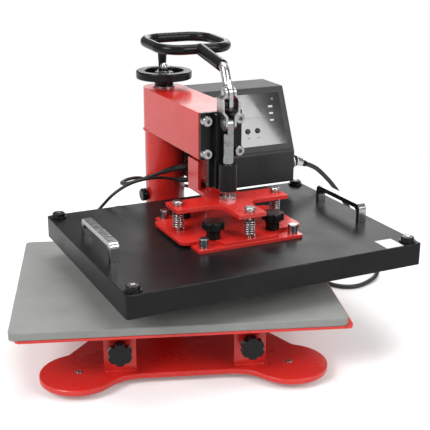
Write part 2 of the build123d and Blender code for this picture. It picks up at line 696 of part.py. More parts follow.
def link_plate(side):
    """Bent strap: close at both eyes and bowed out round the ears, with the lower pin's riveted end."""
    top = CRANK_PIN_Z
    inner = LINK_INNER_X
    bow = LINK_BOW_X
    bends = [(x, top - down) for x, down in zip((inner, bow, bow, inner), LINK_BOW_PLACES)]
    places = [(inner, top + LINK_EYE_RADIUS + 2), *bends, (inner, RAM_PIN_Z - LINK_EYE_RADIUS - 4)]
    outer = [(x + LINK_THICKNESS, z + 0.45 * LINK_THICKNESS * turn)
             for (x, z), turn in zip(places, (0, 1, 1, -1, -1, 0))]
    strap = Polyline(*places, *reversed(outer), close=True)
    bent = extrude(Plane.XZ * make_face(strap), REACH * 2)
    eye_top = Pos(-REACH, top) * Circle(LINK_EYE_RADIUS)
    eye_low = Pos(-REACH, RAM_PIN_Z) * Circle(LINK_DEPTH / 2)
    body = Pos(-REACH, (top - 9 + RAM_PIN_Z) / 2) * Rectangle(LINK_DEPTH, top - 9 - RAM_PIN_Z)
    throat = Pos(-REACH, top - 5) * Rectangle(2 * LINK_EYE_RADIUS, 10)
    profile = eye_top + eye_low + body + throat
    solid = bent & side_profile(profile, 2 * LINK_BOW_X)
    solid -= rod_x(PIN_RADIUS + RUNNING_GAP, -20, 20, -REACH, top)
    face = LINK_INNER_X + LINK_THICKNESS
    solid += rod_x(PIN_RADIUS + 1.3, face - 0.5, face + PIN_PROUD, -REACH, RAM_PIN_Z)
    return solid if side > 0 else mirror(solid, about=Plane.YZ)


def ram_shaft():
    """Chrome ram: flat tongue for the links, round guide length, threaded foot."""
    shoulder = RAM_PIN_Z - LINK_DEPTH / 2 - 4
    top = RAM_PIN_Z + LINK_EYE_RADIUS
    shaft = post(SHAFT_RADIUS, BRACKET_Z - 9, shoulder, y=-REACH)
    tongue = Pos(-REACH, RAM_PIN_Z) * Circle(LINK_EYE_RADIUS)
    tongue_height = RAM_PIN_Z - shoulder + 2
    tongue += Pos(-REACH, (shoulder + RAM_PIN_Z) / 2) * Rectangle(2 * LINK_EYE_RADIUS, tongue_height)
    return shaft + side_profile(tongue, TONGUE_HALF_THICKNESS)


def ram_nut(low, height):
    """Hexagon nut on the ram."""
    nut = Pos(0, -REACH, low) * extrude(RegularPolygon(NUT_ACROSS / 2, 6, major_radius=False), height)
    return nut - post(SHAFT_RADIUS, low - 1, low + height + 1, y=-REACH)


def cross_outline(reach_x, reach_y, arm_x_width, arm_y_width, corner):
    """Plus shape with rounded inner corners."""
    shape = Rectangle(2 * reach_x, arm_x_width) + Rectangle(arm_y_width, 2 * reach_y)
    inner = [vertex for vertex in shape.vertices()
             if abs(abs(vertex.X) - arm_y_width / 2) < 0.01 and abs(abs(vertex.Y) - arm_x_width / 2) < 0.01]
    return fillet(inner, corner)


def spring_places():
    return [(-SPRING_X, 0), (SPRING_X, 0), (0, -SPRING_Y), (0, SPRING_Y)]


def spring_bracket():
    """Plus-shaped plate on the ram that presses on the springs, with a longer rear arm."""
    outline = cross_outline(BRACKET_ARM_X, BRACKET_ARM_Y, BRACKET_ARM_X_WIDTH, BRACKET_ARM_Y_WIDTH,
                            BRACKET_FILLET)
    outline += Pos(0, BRACKET_TAIL / 2) * Rectangle(BRACKET_ARM_Y_WIDTH, BRACKET_TAIL)
    solid = Pos(0, -REACH, BRACKET_Z) * extrude(outline, BRACKET_THICKNESS)
    solid -= post(SHAFT_RADIUS, BRACKET_Z - 1, BRACKET_TOP_Z + 1, y=-REACH)
    for x, y in spring_places():
        solid -= post(BUSHING_RADIUS, BRACKET_Z - 1, BRACKET_TOP_Z + 1, x, y - REACH)
    return solid


def guide_cheeks():
    """Red channel on the bracket's rear arm that slides round the arm's guide bar."""
    low = BRACKET_TOP_Z
    high = low + GUIDE_CHEEK_HEIGHT
    back = CHANNEL_BACK_Y
    solid = block(-GUIDE_CHEEK_X, GUIDE_CHEEK_X, back - GUIDE_CHEEK_THICKNESS, back, low, high)
    inner = GUIDE_CHEEK_X - GUIDE_CHEEK_THICKNESS
    for cheek in mirrored(block(inner, GUIDE_CHEEK_X, back - GUIDE_CHEEK_DEPTH, back, low, high)):
        solid += cheek
    return solid


def bushings():
    """Collared bushings in the bracket's arms."""
    rings = []
    for x, y in spring_places():
        ring = post(BUSHING_RADIUS, BRACKET_Z, BRACKET_TOP_Z, x, y - REACH)
        ring += post(BUSHING_RADIUS + 0.8, BRACKET_TOP_Z, BRACKET_TOP_Z + BUSHING_COLLAR_HEIGHT, x, y - REACH)
        bore = post(SPRING_BOLT_RADIUS + FREE_GAP, BRACKET_Z - 1, BRACKET_TOP_Z + 9, x, y - REACH)
        rings.append(ring - bore)
    return solids_of(rings)


def press_springs():
    """Four coil springs between the cross plate and the bracket."""
    first, *others = spring_places()
    return solids_of([press_spring(*first, report=True)] + [press_spring(x, y) for x, y in others])


def press_spring(x, y, report=False):
    """One coil spring, wound round its bolt."""
    low = CROSS_TOP_Z
    high = BRACKET_Z
    lead_in = 2.4 * SPRING_WIRE
    first = low + lead_in
    last = high - lead_in
    steps = int(SPRING_TURNS * 4)
    slope = (last - first) / (SPRING_TURNS * 2 * math.pi)
    points = []
    ways = []
    for index in range(steps + 1):
        angle = index * math.pi / 2
        points.append(Vector(x + SPRING_MEAN_RADIUS * math.cos(angle),
                             y - REACH + SPRING_MEAN_RADIUS * math.sin(angle),
                             first + (last - first) * index / steps))
        ways.append(Vector(-SPRING_MEAN_RADIUS * math.sin(angle), SPRING_MEAN_RADIUS * math.cos(angle),
                           slope).normalized())
    bend = 1.3 * SPRING_WIRE
    up = Vector(0, 0, 1)
    start_bend = points[0] - Vector(0, bend, lead_in - SPRING_WIRE)
    end_way = Vector(-math.sin(steps * math.pi / 2), math.cos(steps * math.pi / 2), 0)
    end_bend = points[-1] + end_way * bend + Vector(0, 0, lead_in - SPRING_WIRE)
    start = Vector(start_bend.X, start_bend.Y, low)
    end = Vector(end_bend.X, end_bend.Y, high)
    edges = [Line(start, start_bend)]
    edges += biarc(start_bend, up, points[0], ways[0])
    edges += through(points, ways)
    edges += biarc(points[-1], ways[-1], end_bend, up)
    edges.append(Line(end_bend, end))
    solid = tube_along(edges, SPRING_WIRE / 2, start, up)
    if report:
        wire = Wire(edges)
        count = 40 * int(SPRING_TURNS)
        samples = [wire @ (index / count) for index in range(count + 1)]
        skip = int(0.5 * count / SPRING_TURNS)
        print("spring gap", round(least_self_gap(samples, SPRING_WIRE, skip), 2),
              "volume share", round(solid.volume / (math.pi * SPRING_WIRE ** 2 / 4 * wire.length), 4))
    return solid


# Upper platen

def heater_plate():
    width = PLATEN_WIDTH - 2 * HEATER_INSET
    depth = PLATEN_DEPTH - 2 * HEATER_INSET
    solid = rounded_plate(width, depth, COVER_CORNER_RADIUS, 0, -REACH, HEATER_Z, HEATER_THICKNESS)
    return chamfer(solid.edges().group_by(Axis.Z)[0], 0.8)


def platen_cover():
    """Black sheet cover, open below, with a skirt round the heater plate."""
    solid = rounded_plate(PLATEN_WIDTH, PLATEN_DEPTH, COVER_CORNER_RADIUS, 0, -REACH, COVER_Z, COVER_HEIGHT)
    solid = fillet(solid.edges().group_by(Axis.Z)[-1], 1.2)
    cavity = rounded_plate(PLATEN_WIDTH - 2 * COVER_WALL, PLATEN_DEPTH - 2 * COVER_WALL,
                           COVER_CORNER_RADIUS - COVER_WALL, 0, -REACH,
                           COVER_Z - 1, COVER_HEIGHT - COVER_WALL + 1)
    solid -= cavity
    for x, y in four_corners(CAP_X, CAP_Y, -REACH):
        solid -= post(SPRING_BOLT_RADIUS, COVER_Z, COVER_TOP_Z + 1, x, y)
    return solid


def heating_element():
    """Tubular element that runs to and fro on the heater plate."""
    z = HEATER_Z + HEATER_THICKNESS + ELEMENT_RADIUS + 0.1
    half = PLATEN_WIDTH / 2 - ELEMENT_MARGIN
    first_y = -REACH - ELEMENT_PITCH * (ELEMENT_RUNS - 1) / 2
    corners = []
    for index in range(ELEMENT_RUNS):
        y = first_y + index * ELEMENT_PITCH
        side = -1 if index % 2 == 0 else 1
        corners += [(side * half, y, z), (-side * half, y, z)]
    path = FilletPolyline(*corners, radius=ELEMENT_PITCH / 2 - 1)
    section = Plane(origin=path @ 0, z_dir=path % 0) * Circle(ELEMENT_RADIUS)
    return sweep(section, path=path)


def mount_plate():
    """Lower red plate on the cover, tapped for the knobs."""
    solid = rounded_plate(2 * MOUNT_PLATE_X, 2 * MOUNT_PLATE_Y, 3, 0, -REACH,
                          COVER_TOP_Z, MOUNT_PLATE_THICKNESS)
    for x, y in four_corners(PLATEN_KNOB_X, PLATEN_KNOB_Y, -REACH):
        solid -= post(KNOB_STUD_RADIUS + RUNNING_GAP, COVER_TOP_Z - 1, CROSS_Z + 1, x, y)
    return solid


def cross_plate():
    """Upper red plate: the springs stand on it and four knobs clamp it."""
    outline = cross_outline(CROSS_PLATE_X, CROSS_PLATE_Y, CROSS_ARM_X_WIDTH, CROSS_ARM_Y_WIDTH, CROSS_FILLET)
    outer = [vertex for vertex in outline.vertices() if abs(abs(vertex.X) - CROSS_PLATE_X) < 0.01]
    outline = fillet(outer, CROSS_CORNER_RADIUS)
    solid = Pos(0, -REACH, CROSS_Z) * extrude(outline, CROSS_PLATE_THICKNESS)
    for x, y in four_corners(PLATEN_KNOB_X, PLATEN_KNOB_Y, -REACH):
        solid -= post(KNOB_STUD_RADIUS + FREE_GAP, CROSS_Z - 1, CROSS_TOP_Z + 1, x, y)
    for x, y in spring_places():
        solid -= post(SPRING_BOLT_RADIUS, CROSS_Z - 1, CROSS_TOP_Z + 1, x, y - REACH)
    return solid


def spring_bolts():
    """Round-head bolts through the springs, screwed into the cross plate."""
    bolts = []
    seat = BRACKET_TOP_Z + BUSHING_COLLAR_HEIGHT
    for x, y in spring_places():
        head = post(SPRING_BOLT_HEAD_RADIUS, seat, seat + SPRING_BOLT_HEAD_HEIGHT, x, y - REACH)
        head = fillet(head.edges().group_by(Axis.Z)[-1], SPRING_BOLT_HEAD_HEIGHT * 0.6)
        bolts.append(head + post(SPRING_BOLT_RADIUS, CROSS_Z, seat + 1, x, y - REACH))
    return solids_of(bolts)


def corner_studs():
    """Four spacer nuts on the lower plate's corners."""
    studs = []
    for x, y in four_corners(CORNER_STUD_X, CORNER_STUD_Y, -REACH):
        base = COVER_TOP_Z + MOUNT_PLATE_THICKNESS
        stud = post(CORNER_STUD_RADIUS, base, base + CORNER_STUD_HEIGHT, x, y)
        stud = chamfer(stud.edges().group_by(Axis.Z)[-1], 0.8)
        studs.append(stud)
    return solids_of(studs)


def platen_knob(x, y):
    """Knob on the cross plate, with its stud down into the mounting plate."""
    seat = CROSS_TOP_Z + RUNNING_GAP
    knob = Pos(x, y, seat) * lobed_knob()
    return knob + post(KNOB_STUD_RADIUS, COVER_TOP_Z + 0.2, seat + 1, x, y)


def cover_caps():
    """Black corner caps on the cover."""
    caps = []
    for x, y in four_corners(CAP_X, CAP_Y, -REACH):
        flange = post(CAP_FLANGE_RADIUS, COVER_TOP_Z, COVER_TOP_Z + 2, x, y)
        cap = post(CAP_RADIUS, COVER_TOP_Z, COVER_TOP_Z + CAP_HEIGHT, x, y)
        cap = fillet(cap.edges().group_by(Axis.Z)[-1], 1.5)
        cap = flange + cap - post(SPRING_BOLT_RADIUS, COVER_TOP_Z - 1, COVER_TOP_Z + CAP_HEIGHT + 1, x, y)
        caps.append(cap)
    return solids_of(caps)


def cap_screws():
    """Screws through the caps into the heater plate."""
    screws = []
    for x, y in four_corners(CAP_X, CAP_Y, -REACH):
        top = COVER_TOP_Z + CAP_HEIGHT + 0.6
        screws.append(post(SPRING_BOLT_RADIUS, HEATER_Z + HEATER_THICKNESS, top, x, y))
    return solids_of(screws)


def side_handle(side):
    """Bright strap handle on the cover, bent down to two feet."""
    centre = -REACH
    low = COVER_TOP_Z
    top = low + HANDLE_HEIGHT
    half = HANDLE_LENGTH / 2
    outer = Pos(centre, (low + top) / 2) * Rectangle(HANDLE_LENGTH, HANDLE_HEIGHT)
    outer = fillet(outer.vertices().group_by(Axis.Y)[-1], HANDLE_INNER_RADIUS)
    inner_length = 2 * (half - HANDLE_BAR)
    inner = Pos(centre, (low + top - HANDLE_BAR) / 2) * Rectangle(inner_length, HANDLE_HEIGHT - HANDLE_BAR)
    inner = fillet(inner.vertices().group_by(Axis.Y)[-1], HANDLE_INNER_RADIUS)
    solid = side_profile(outer - inner, HANDLE_WIDTH / 2)
    return Pos(side * HANDLE_X, 0, 0) * solid


def rear_gland(x):
    """Cable gland on the back of the cover."""
    return rod_y(GLAND_RADIUS, GLAND_FACE_Y - GLAND_LENGTH, GLAND_FACE_Y, x, GLAND_Z)


# Control box

def box_profile(inset=0.0):
    """Side view of the box as (y, z), inset all round."""
    places = [(BOX_FRONT_Y, BOX_BOTTOM_Z), (BOX_BACK_Y, BOX_BOTTOM_Z), (BOX_BACK_Y, BOX_TOP_Z),
              (BOX_TOP_FRONT_Y, BOX_TOP_Z), (BOX_FRONT_Y, BOX_CHIN_Z)]
    face = make_face(Polyline(*places, close=True))
    return offset(face, -inset) if inset else face


def box_between(profile, x0, x1):
    return Pos((x0 + x1) / 2, 0, 0) * side_profile(profile, (x1 - x0) / 2)


def slope_plane(x, up_panel, lift=0.0):
    """Plane on the sloped front: local x along the box, local y up the slope."""
    y = BOX_FRONT_Y + up_panel * math.sin(CHIN_ANGLE) - lift * math.cos(CHIN_ANGLE)
    z = BOX_CHIN_Z + up_panel * math.cos(CHIN_ANGLE) + lift * math.sin(CHIN_ANGLE)
    normal = (0, -math.cos(CHIN_ANGLE), math.sin(CHIN_ANGLE))
    return Plane(origin=(x, y, z), x_dir=(1, 0, 0), z_dir=normal)


def control_box():
    """Sheet housing, open at the back."""
    solid = box_between(box_profile(), BOX_LEFT_X, BOX_RIGHT_X)
    solid = fillet(solid.edges().filter_by(Axis.X), BOX_CORNER_RADIUS)
    solid -= box_between(box_profile(BOX_WALL), BOX_LEFT_X + BOX_WALL, BOX_RIGHT_X - BOX_WALL)
    solid -= block(BOX_LEFT_X + BOX_WALL, BOX_RIGHT_X - BOX_WALL, BOX_BACK_Y - 2 * BOX_WALL, BOX_BACK_Y + 1,
                   BOX_BOTTOM_Z + BOX_WALL, BOX_TOP_Z - BOX_WALL)
    width, height = label_size()
    window = slope_plane((BOX_LEFT_X + BOX_RIGHT_X) / 2, label_middle()) * Rectangle(
        width - 2 * BOX_WALL, height - 2 * BOX_WALL)
    solid -= extrude(window, 2 * BOX_WALL, both=True)
    solid -= rod_x(4, BOX_RIGHT_X - 5, BOX_RIGHT_X + 5, RIGHT_PLUG[1], RIGHT_PLUG[2])
    solid -= rod_x(4, BOX_LEFT_X - 5, BOX_LEFT_X + 5, LEFT_PLUG[1], LEFT_PLUG[2])
    return solid


def box_back():
    """Rear cover of the housing."""
    gap = BOX_WALL + 0.1
    return block(BOX_LEFT_X + gap, BOX_RIGHT_X - gap, BOX_BACK_Y - BOX_WALL, BOX_BACK_Y,
                 BOX_BOTTOM_Z + gap, BOX_TOP_Z - gap)


def panel_bezel():
    """Plate on the slope that carries label, display and buttons."""
    width = BOX_RIGHT_X - BOX_LEFT_X - 2 * PANEL_MARGIN
    height = SLOPE_LENGTH - 2 * PANEL_MARGIN
    centre_x = (BOX_LEFT_X + BOX_RIGHT_X) / 2
    outer = slope_plane(centre_x, SLOPE_LENGTH / 2) * RectangleRounded(width, height, 2)
    solid = extrude(outer, PANEL_THICKNESS)
    pocket = slope_plane(centre_x, label_middle(), PANEL_THICKNESS) * Rectangle(*label_size())
    solid -= extrude(pocket, -LABEL_THICKNESS)
    for index in range(BUTTON_COUNT):
        hole = slope_plane(button_x(index), BUTTON_UP_PANEL, 0) * Circle(BUTTON_RADIUS + FREE_GAP)
        solid -= extrude(hole, 4 * PANEL_THICKNESS, both=True)
    return solid


def label_size():
    width = BOX_RIGHT_X - BOX_LEFT_X - 2 * LABEL_MARGIN
    height = SLOPE_LENGTH - LABEL_MARGIN - LABEL_BOTTOM_MARGIN
    return width, height


def label_middle():
    """Middle of the label, up the slope."""
    return (SLOPE_LENGTH - LABEL_MARGIN + LABEL_BOTTOM_MARGIN) / 2


def button_x(index):
    return BUTTON_FIRST_X + index * BUTTON_PITCH


def panel_label():
    """Glossy label with openings for the buttons and the display."""
    centre_x = (BOX_LEFT_X + BOX_RIGHT_X) / 2
    lift = PANEL_THICKNESS - LABEL_THICKNESS
    sheet = extrude(slope_plane(centre_x, label_middle(), lift) * Rectangle(*label_size()), LABEL_THICKNESS)
    for index in range(BUTTON_COUNT):
        hole = slope_plane(button_x(index), BUTTON_UP_PANEL) * Circle(BUTTON_RADIUS + FREE_GAP)
        sheet -= extrude(hole, 4 * PANEL_THICKNESS, both=True)
    return sheet


def display_window():
    """Dark display window on the label."""
    centre_x = (BOX_LEFT_X + BOX_RIGHT_X) / 2
    place = slope_plane(centre_x, SLOPE_LENGTH * 0.66, PANEL_THICKNESS)
    return extrude(place * RectangleRounded(DISPLAY_WIDTH, DISPLAY_HEIGHT, 1.5), DISPLAY_THICKNESS)


def panel_button(index):
    """Round key that travels square to the slope."""
    place = slope_plane(button_x(index), BUTTON_UP_PANEL, PANEL_THICKNESS + BUTTON_RISE)
    return extrude(place * Circle(BUTTON_RADIUS), -BUTTON_RISE - BUTTON_STEM)


# Connectors and cables. A route's points are chosen by hand, in the head's own frame.

RIGHT_PLUG = (BOX_RIGHT_X, -76.0, 176.0)
LEFT_PLUG = (BOX_LEFT_X, -45.0, 177.0)
SENSOR_OUT = (BOX_LEFT_X, -45.0, 158.0)
HEATER_GLAND_X = 66.0
SENSOR_GLAND_X = -77.0
GLAND_FACE_Y = -REACH + PLATEN_DEPTH / 2 + GLAND_LENGTH
GLAND_Z = COVER_TOP_Z - GLAND_DROP
FLOOR_Z = POWER_CORD_RADIUS
COIL_CENTRE = (BOX_RIGHT_X - 7, 128.0)

RELIEF_WAY = Vector(math.cos(math.radians(RELIEF_DROOP)), 0, -math.sin(math.radians(RELIEF_DROOP)))
RELIEF_END = Vector(*RIGHT_PLUG) + Vector(CONNECTOR_LENGTH, 0, 0) + RELIEF_WAY * RELIEF_LENGTH

POWER_ROUTE = [
    tuple(RELIEF_END),
    tuple(RELIEF_END + RELIEF_WAY * 15),
    (BOX_RIGHT_X + 60, -77.0, 151.0),
    (BOX_RIGHT_X + 76, -79.0, 134.0),
    (BOX_RIGHT_X + 92, -82.0, 112.0),
    (BOX_RIGHT_X + 107, -87.0, 88.0),
    (BOX_RIGHT_X + 120, -95.0, 62.0),
    (BOX_RIGHT_X + 130, -108.0, 37.0),
    (BOX_RIGHT_X + 132, -127.0, 16.0),
    (BOX_RIGHT_X + 119, -145.0, 6.0),
    (BOX_RIGHT_X + 95, -156.0, FLOOR_Z),
    (BOX_RIGHT_X + 67, -163.0, FLOOR_Z),
    (BOX_RIGHT_X + 44, -148.0, FLOOR_Z),
    (BOX_RIGHT_X + 36, -119.0, FLOOR_Z),
    (BOX_RIGHT_X + 40, -86.0, FLOOR_Z),
    (BOX_RIGHT_X + 48, -46.0, FLOOR_Z),
    (BOX_RIGHT_X + 54, 0.0, FLOOR_Z),
    (BOX_RIGHT_X + 49, 44.0, FLOOR_Z),
]

HEATER_ROUTE = [
    (BOX_LEFT_X - HEATER_PLUG_LENGTH, -45.0, 177.0),
    (-9.0, -45.0, 177.0),
    (-32.0, -46.0, 171.5),
    (-52.0, -42.0, 166.0),
    (-67.0, -28.0, 157.5),
    (-71.0, -7.0, 152.5),
    (-57.0, 9.0, 152.5),
    (-35.0, 19.0, 151.0),
    (-14.0, GLAND_FACE_Y + 77.7, 141.0),
    (11.0, GLAND_FACE_Y + 85.7, 132.0),
    (35.0, GLAND_FACE_Y + 80.7, 127.0),
    (52.0, GLAND_FACE_Y + 64.7, GLAND_Z + 0.5),
    (61.0, GLAND_FACE_Y + 43.7, GLAND_Z),
    (HEATER_GLAND_X, GLAND_FACE_Y + 21.7, GLAND_Z),
    (HEATER_GLAND_X, GLAND_FACE_Y, GLAND_Z),
]

SENSOR_ROUTE = [
    (BOX_LEFT_X - SENSOR_BUSH_LENGTH, -45.0, 158.0),
    (6.0, -45.0, 158.0),
    (-10.0, -48.0, 163.5),
    (-30.0, -51.0, 168.5),
    (-53.0, -51.5, 169.0),
    (-76.0, -50.0, 164.0),
    (-96.0, -45.0, 151.0),
    (-109.0, -35.0, 132.0),
    (-115.0, GLAND_FACE_Y + 27.7, 115.0),
    (-111.0, GLAND_FACE_Y + 45.7, 107.0),
    (-102.0, GLAND_FACE_Y + 58.7, 107.0),
    (-88.0, GLAND_FACE_Y + 61.7, 109.0),
    (-77.0, GLAND_FACE_Y + 52.7, 113.0),
    (-73.0, GLAND_FACE_Y + 35.7, 119.5),
    (SENSOR_GLAND_X, GLAND_FACE_Y + 17.7, GLAND_Z),
    (SENSOR_GLAND_X, GLAND_FACE_Y, GLAND_Z),
]


def connector(place, side, length):
    """Round plug and its coupling nut on a side of the box."""
    x, y, z = place
    far = x + side * length
    near = x + side * 6
    body = rod_x(CONNECTOR_RADIUS, min(x, far), max(x, far), y, z)
    nut = rod_x(CONNECTOR_NUT_RADIUS, min(x, near), max(x, near), y, z)
    return body + nut


def power_relief():
    """Tapered strain relief of the power cord, drooping from the connector."""
    root = Vector(*RIGHT_PLUG) + Vector(CONNECTOR_LENGTH, 0, 0)
    inside = root - RELIEF_WAY * 4
    base = Plane(origin=inside, z_dir=RELIEF_WAY) * Circle(RELIEF_ROOT_RADIUS)
    tip = Plane(origin=RELIEF_END, z_dir=RELIEF_WAY) * Circle(POWER_CORD_RADIUS + 0.8)
    return loft([base.faces()[0], tip.faces()[0]])


def coil_points():
    """Centre line of the put-away coil: inwards on the floor, up a layer, then out again."""
    pitch = 2 * POWER_CORD_RADIUS + COIL_TURN_GAP
    lift = 2 * POWER_CORD_RADIUS + COIL_LAYER_GAP
    outer = COIL_MEAN_RADIUS + pitch * COIL_LAYER_TURNS / 2
    quarters = int(COIL_LAYER_TURNS * 4)
    points = []
    ways = []
    for index in range(2 * quarters + 3):
        climbed = min(max(index - quarters, 0), 2)
        radius = outer - pitch * (min(index, quarters) - max(0, index - quarters - 2)) / 4
        out = Vector(math.cos(index * math.pi / 2), math.sin(index * math.pi / 2), 0)
        along = Vector(-out.Y, out.X, 0)
        spread = 0.0 if climbed in (1, 2) and index <= quarters + 2 else pitch / (2 * math.pi)
        growth = spread if index > quarters else -spread
        rise = lift / math.pi if climbed == 1 else 0.0
        points.append(Vector(*COIL_CENTRE, FLOOR_Z + lift * climbed / 2) + out * radius)
        ways.append((along * radius + out * growth + Vector(0, 0, rise)).normalized())
    return points, ways


def cord_coil():
    """The coil's turns as one tube that ends bent outwards, for the plug."""
    points, ways = coil_points()
    lead = 2 * POWER_CORD_RADIUS
    start = points[0] - ways[0] * lead
    out = (points[-1] - Vector(*COIL_CENTRE, points[-1].Z)).normalized()
    turned = points[-1] + (ways[-1] + out) * PLUG_BEND_RADIUS
    end = turned + out * lead
    edges = [Line(start, points[0])] + through(points, ways)
    edges += biarc(points[-1], ways[-1], turned, out) + [Line(turned, end)]
    solid = tube_along(edges, POWER_CORD_RADIUS, start, ways[0])
    wire = Wire(edges)
    count = 240
    samples = [wire @ (index / count) for index in range(count + 1)]
    half_turn = int(count * math.pi * COIL_MEAN_RADIUS / wire.length)
    print("coil length", round(wire.length), "gap", round(least_self_gap(samples, lead, half_turn), 2),
          "volume share", round(solid.volume / (math.pi * POWER_CORD_RADIUS ** 2 * wire.length), 4))
    return solid, start, ways[0], end, out


def mains_plug(end, way):
    """Round moulded plug at the cord's end, lying on the floor, with two pins."""
    axis = Vector(way.X, way.Y, 0).normalized()
    centre = Vector(end.X, end.Y, end.Z)
    place = Plane(origin=centre, z_dir=axis)
    neck = extrude(place * Circle(POWER_CORD_RADIUS + 2), PLUG_LENGTH * 0.4)
    body_place = Plane(origin=centre + axis * PLUG_LENGTH * 0.4, z_dir=axis)
    body = extrude(body_place * Circle(end.Z), PLUG_LENGTH * 0.6)
    solid = neck + body
    cross = Vector(0, 0, 1).cross(axis)
    for side in (-1, 1):
        origin = centre + axis * (PLUG_LENGTH - 1) + cross * side * 6.3
        solid += extrude(Plane(origin=origin, z_dir=axis) * Circle(PLUG_PIN_RADIUS), PLUG_PIN_LENGTH + 1)
    return solid


# Handwheel

def handwheel():
    """Round rim, one broad spoke and a hub that drops to the thrust washer."""
    rim_low = WHEEL_TOP_Z - WHEEL_RIM_HEIGHT
    rim = post(WHEEL_RADIUS, rim_low, WHEEL_TOP_Z)
    rim -= post(WHEEL_RADIUS - WHEEL_RIM_WIDTH, rim_low - 1, WHEEL_TOP_Z + 1)
    rim = fillet(rim.edges(), 2.0)
    low = ARM_TOP_Z + THRUST_WASHER_THICKNESS
    hub = post(WHEEL_HUB_RADIUS, low, WHEEL_TOP_Z - 2)
    hub = chamfer(hub.edges().group_by(Axis.Z)[-1], 1.0)
    spoke = block(-WHEEL_SPOKE_WIDTH / 2, WHEEL_SPOKE_WIDTH / 2, -WHEEL_RADIUS + WHEEL_RIM_WIDTH / 2,
                  WHEEL_RADIUS - WHEEL_RIM_WIDTH / 2, rim_low + 2, rim_low + 2 + WHEEL_SPOKE_THICKNESS)
    solid = rim + hub + spoke - post(SCREW_RADIUS, low - 1, WHEEL_TOP_Z)
    spinner_bore = SPINNER_FOOT_RADIUS - 2.5 + RUNNING_GAP
    return solid - post(spinner_bore, WHEEL_TOP_Z - 8, WHEEL_TOP_Z + 1, y=SPINNER_RADIUS_AT)


def pressure_screw():
    """Lead screw under the handwheel, with its domed hexagon head on top."""
    low = WHEEL_TOP_Z - 1
    head = Pos(0, 0, low) * extrude(RegularPolygon(6.5, 6, major_radius=False), 6)
    dome = Pos(0, 0, low + 6) * Sphere(5.2) & block(-9, 9, -9, 9, low + 5, low + 20)
    return post(SCREW_RADIUS, POST_TOP_Z - NUT_LENGTH - 12, low) + head + dome


def thrust_washer():
    """Washer between the hub and the arm's top."""
    return (post(THRUST_WASHER_RADIUS, ARM_TOP_Z, ARM_TOP_Z + THRUST_WASHER_THICKNESS)
            - post(SCREW_RADIUS + RUNNING_GAP, ARM_TOP_Z - 1, ARM_TOP_Z + THRUST_WASHER_THICKNESS + 1))


def spinner():
    """Tapered handle that turns on the rim."""
    low = WHEEL_TOP_Z + 0.3
    cone = Pos(0, SPINNER_RADIUS_AT, low + SPINNER_HEIGHT / 2) * Cone(
        SPINNER_FOOT_RADIUS, SPINNER_TOP_RADIUS, SPINNER_HEIGHT)
    cone = fillet(cone.edges().group_by(Axis.Z)[-1], 2.5)
    return cone + post(SPINNER_FOOT_RADIUS - 2.5, WHEEL_TOP_Z - 7, low + 1, y=SPINNER_RADIUS_AT)


def column_knob():
    """Knob that locks the sleeve to the inner post."""
    face = -COLUMN_RADIUS - 2
    head = rod_x(COLUMN_KNOB_RADIUS, face - COLUMN_KNOB_LENGTH, face, 0, COLUMN_KNOB_Z)
    head = chamfer(head.edges().group_by(Axis.X)[0], 1.5)
    tip = -(COLUMN_RADIUS - SLEEVE_WALL) - 0.1
    return head + rod_x(KNOB_STUD_RADIUS, face - 1, tip, 0, COLUMN_KNOB_Z)


# Fixed stand
nodes["base_plate"] = base_plate()
nodes["rubber_feet"] = rubber_feet()
nodes["foot_screws"] = foot_screws()
nodes["platen_posts"] = solids_of([platen_post(-POST_X), platen_post(POST_X)])
nodes["lower_carrier"] = lower_carrier()
nodes["lower_pad"] = fillet(
    rounded_plate(PLATEN_WIDTH, PLATEN_DEPTH, PAD_CORNER_RADIUS, PAD_SHIFT_X, -REACH, PAD_Z, PAD_THICKNESS)
    .edges().group_by(Axis.Z)[-1], 1.2)
nodes["lower_knob_left"] = lock_knob(-1)
nodes["lower_knob_right"] = lock_knob(1)
nodes["column_post"] = inner_post()
nodes["post_nut"] = post_nut()
nodes["thrust_washer"] = thrust_washer()
nodes["handwheel"] = handwheel()
nodes["pressure_screw"] = pressure_screw()
nodes["wheel_spinner"] = spinner()
FIXED_NODES = set(nodes)

# Head
nodes["swing_sleeve"] = swing_sleeve()
nodes["arm"] = arm_shell()
nodes["front_plate"] = front_plate()
nodes["front_bolts"] = front_bolts()
nodes["guide_block"] = guide_block()
nodes["fulcrum_pin"] = fulcrum_pin()
nodes["column_knob"] = column_knob()
nodes["control_box"] = control_box()
nodes["box_back"] = box_back()
nodes["panel_bezel"] = panel_bezel()
nodes["panel_label"] = panel_label()
nodes["display_window"] = display_window()
for button in range(BUTTON_COUNT):
    nodes["panel_button_" + str(button + 1)] = panel_button(button)

# Toggle
nodes["lever_bar"] = lever_bar()
nodes["crank_pin"] = crank_pin()
nodes["grip"] = grip()
nodes["link_straps"] = solids_of([link_plate(-1), link_plate(1)])

# Ram
nodes["ram_shaft"] = ram_shaft()
nodes["ram_nuts"] = solids_of([ram_nut(low, NUT_HEIGHT) for low in (BRACKET_TOP_Z, BRACKET_Z - NUT_HEIGHT)])
nodes["spring_bracket"] = spring_bracket()
nodes["guide_cheeks"] = guide_cheeks()
nodes["spring_bushings"] = bushings()
nodes["press_springs"] = press_springs()

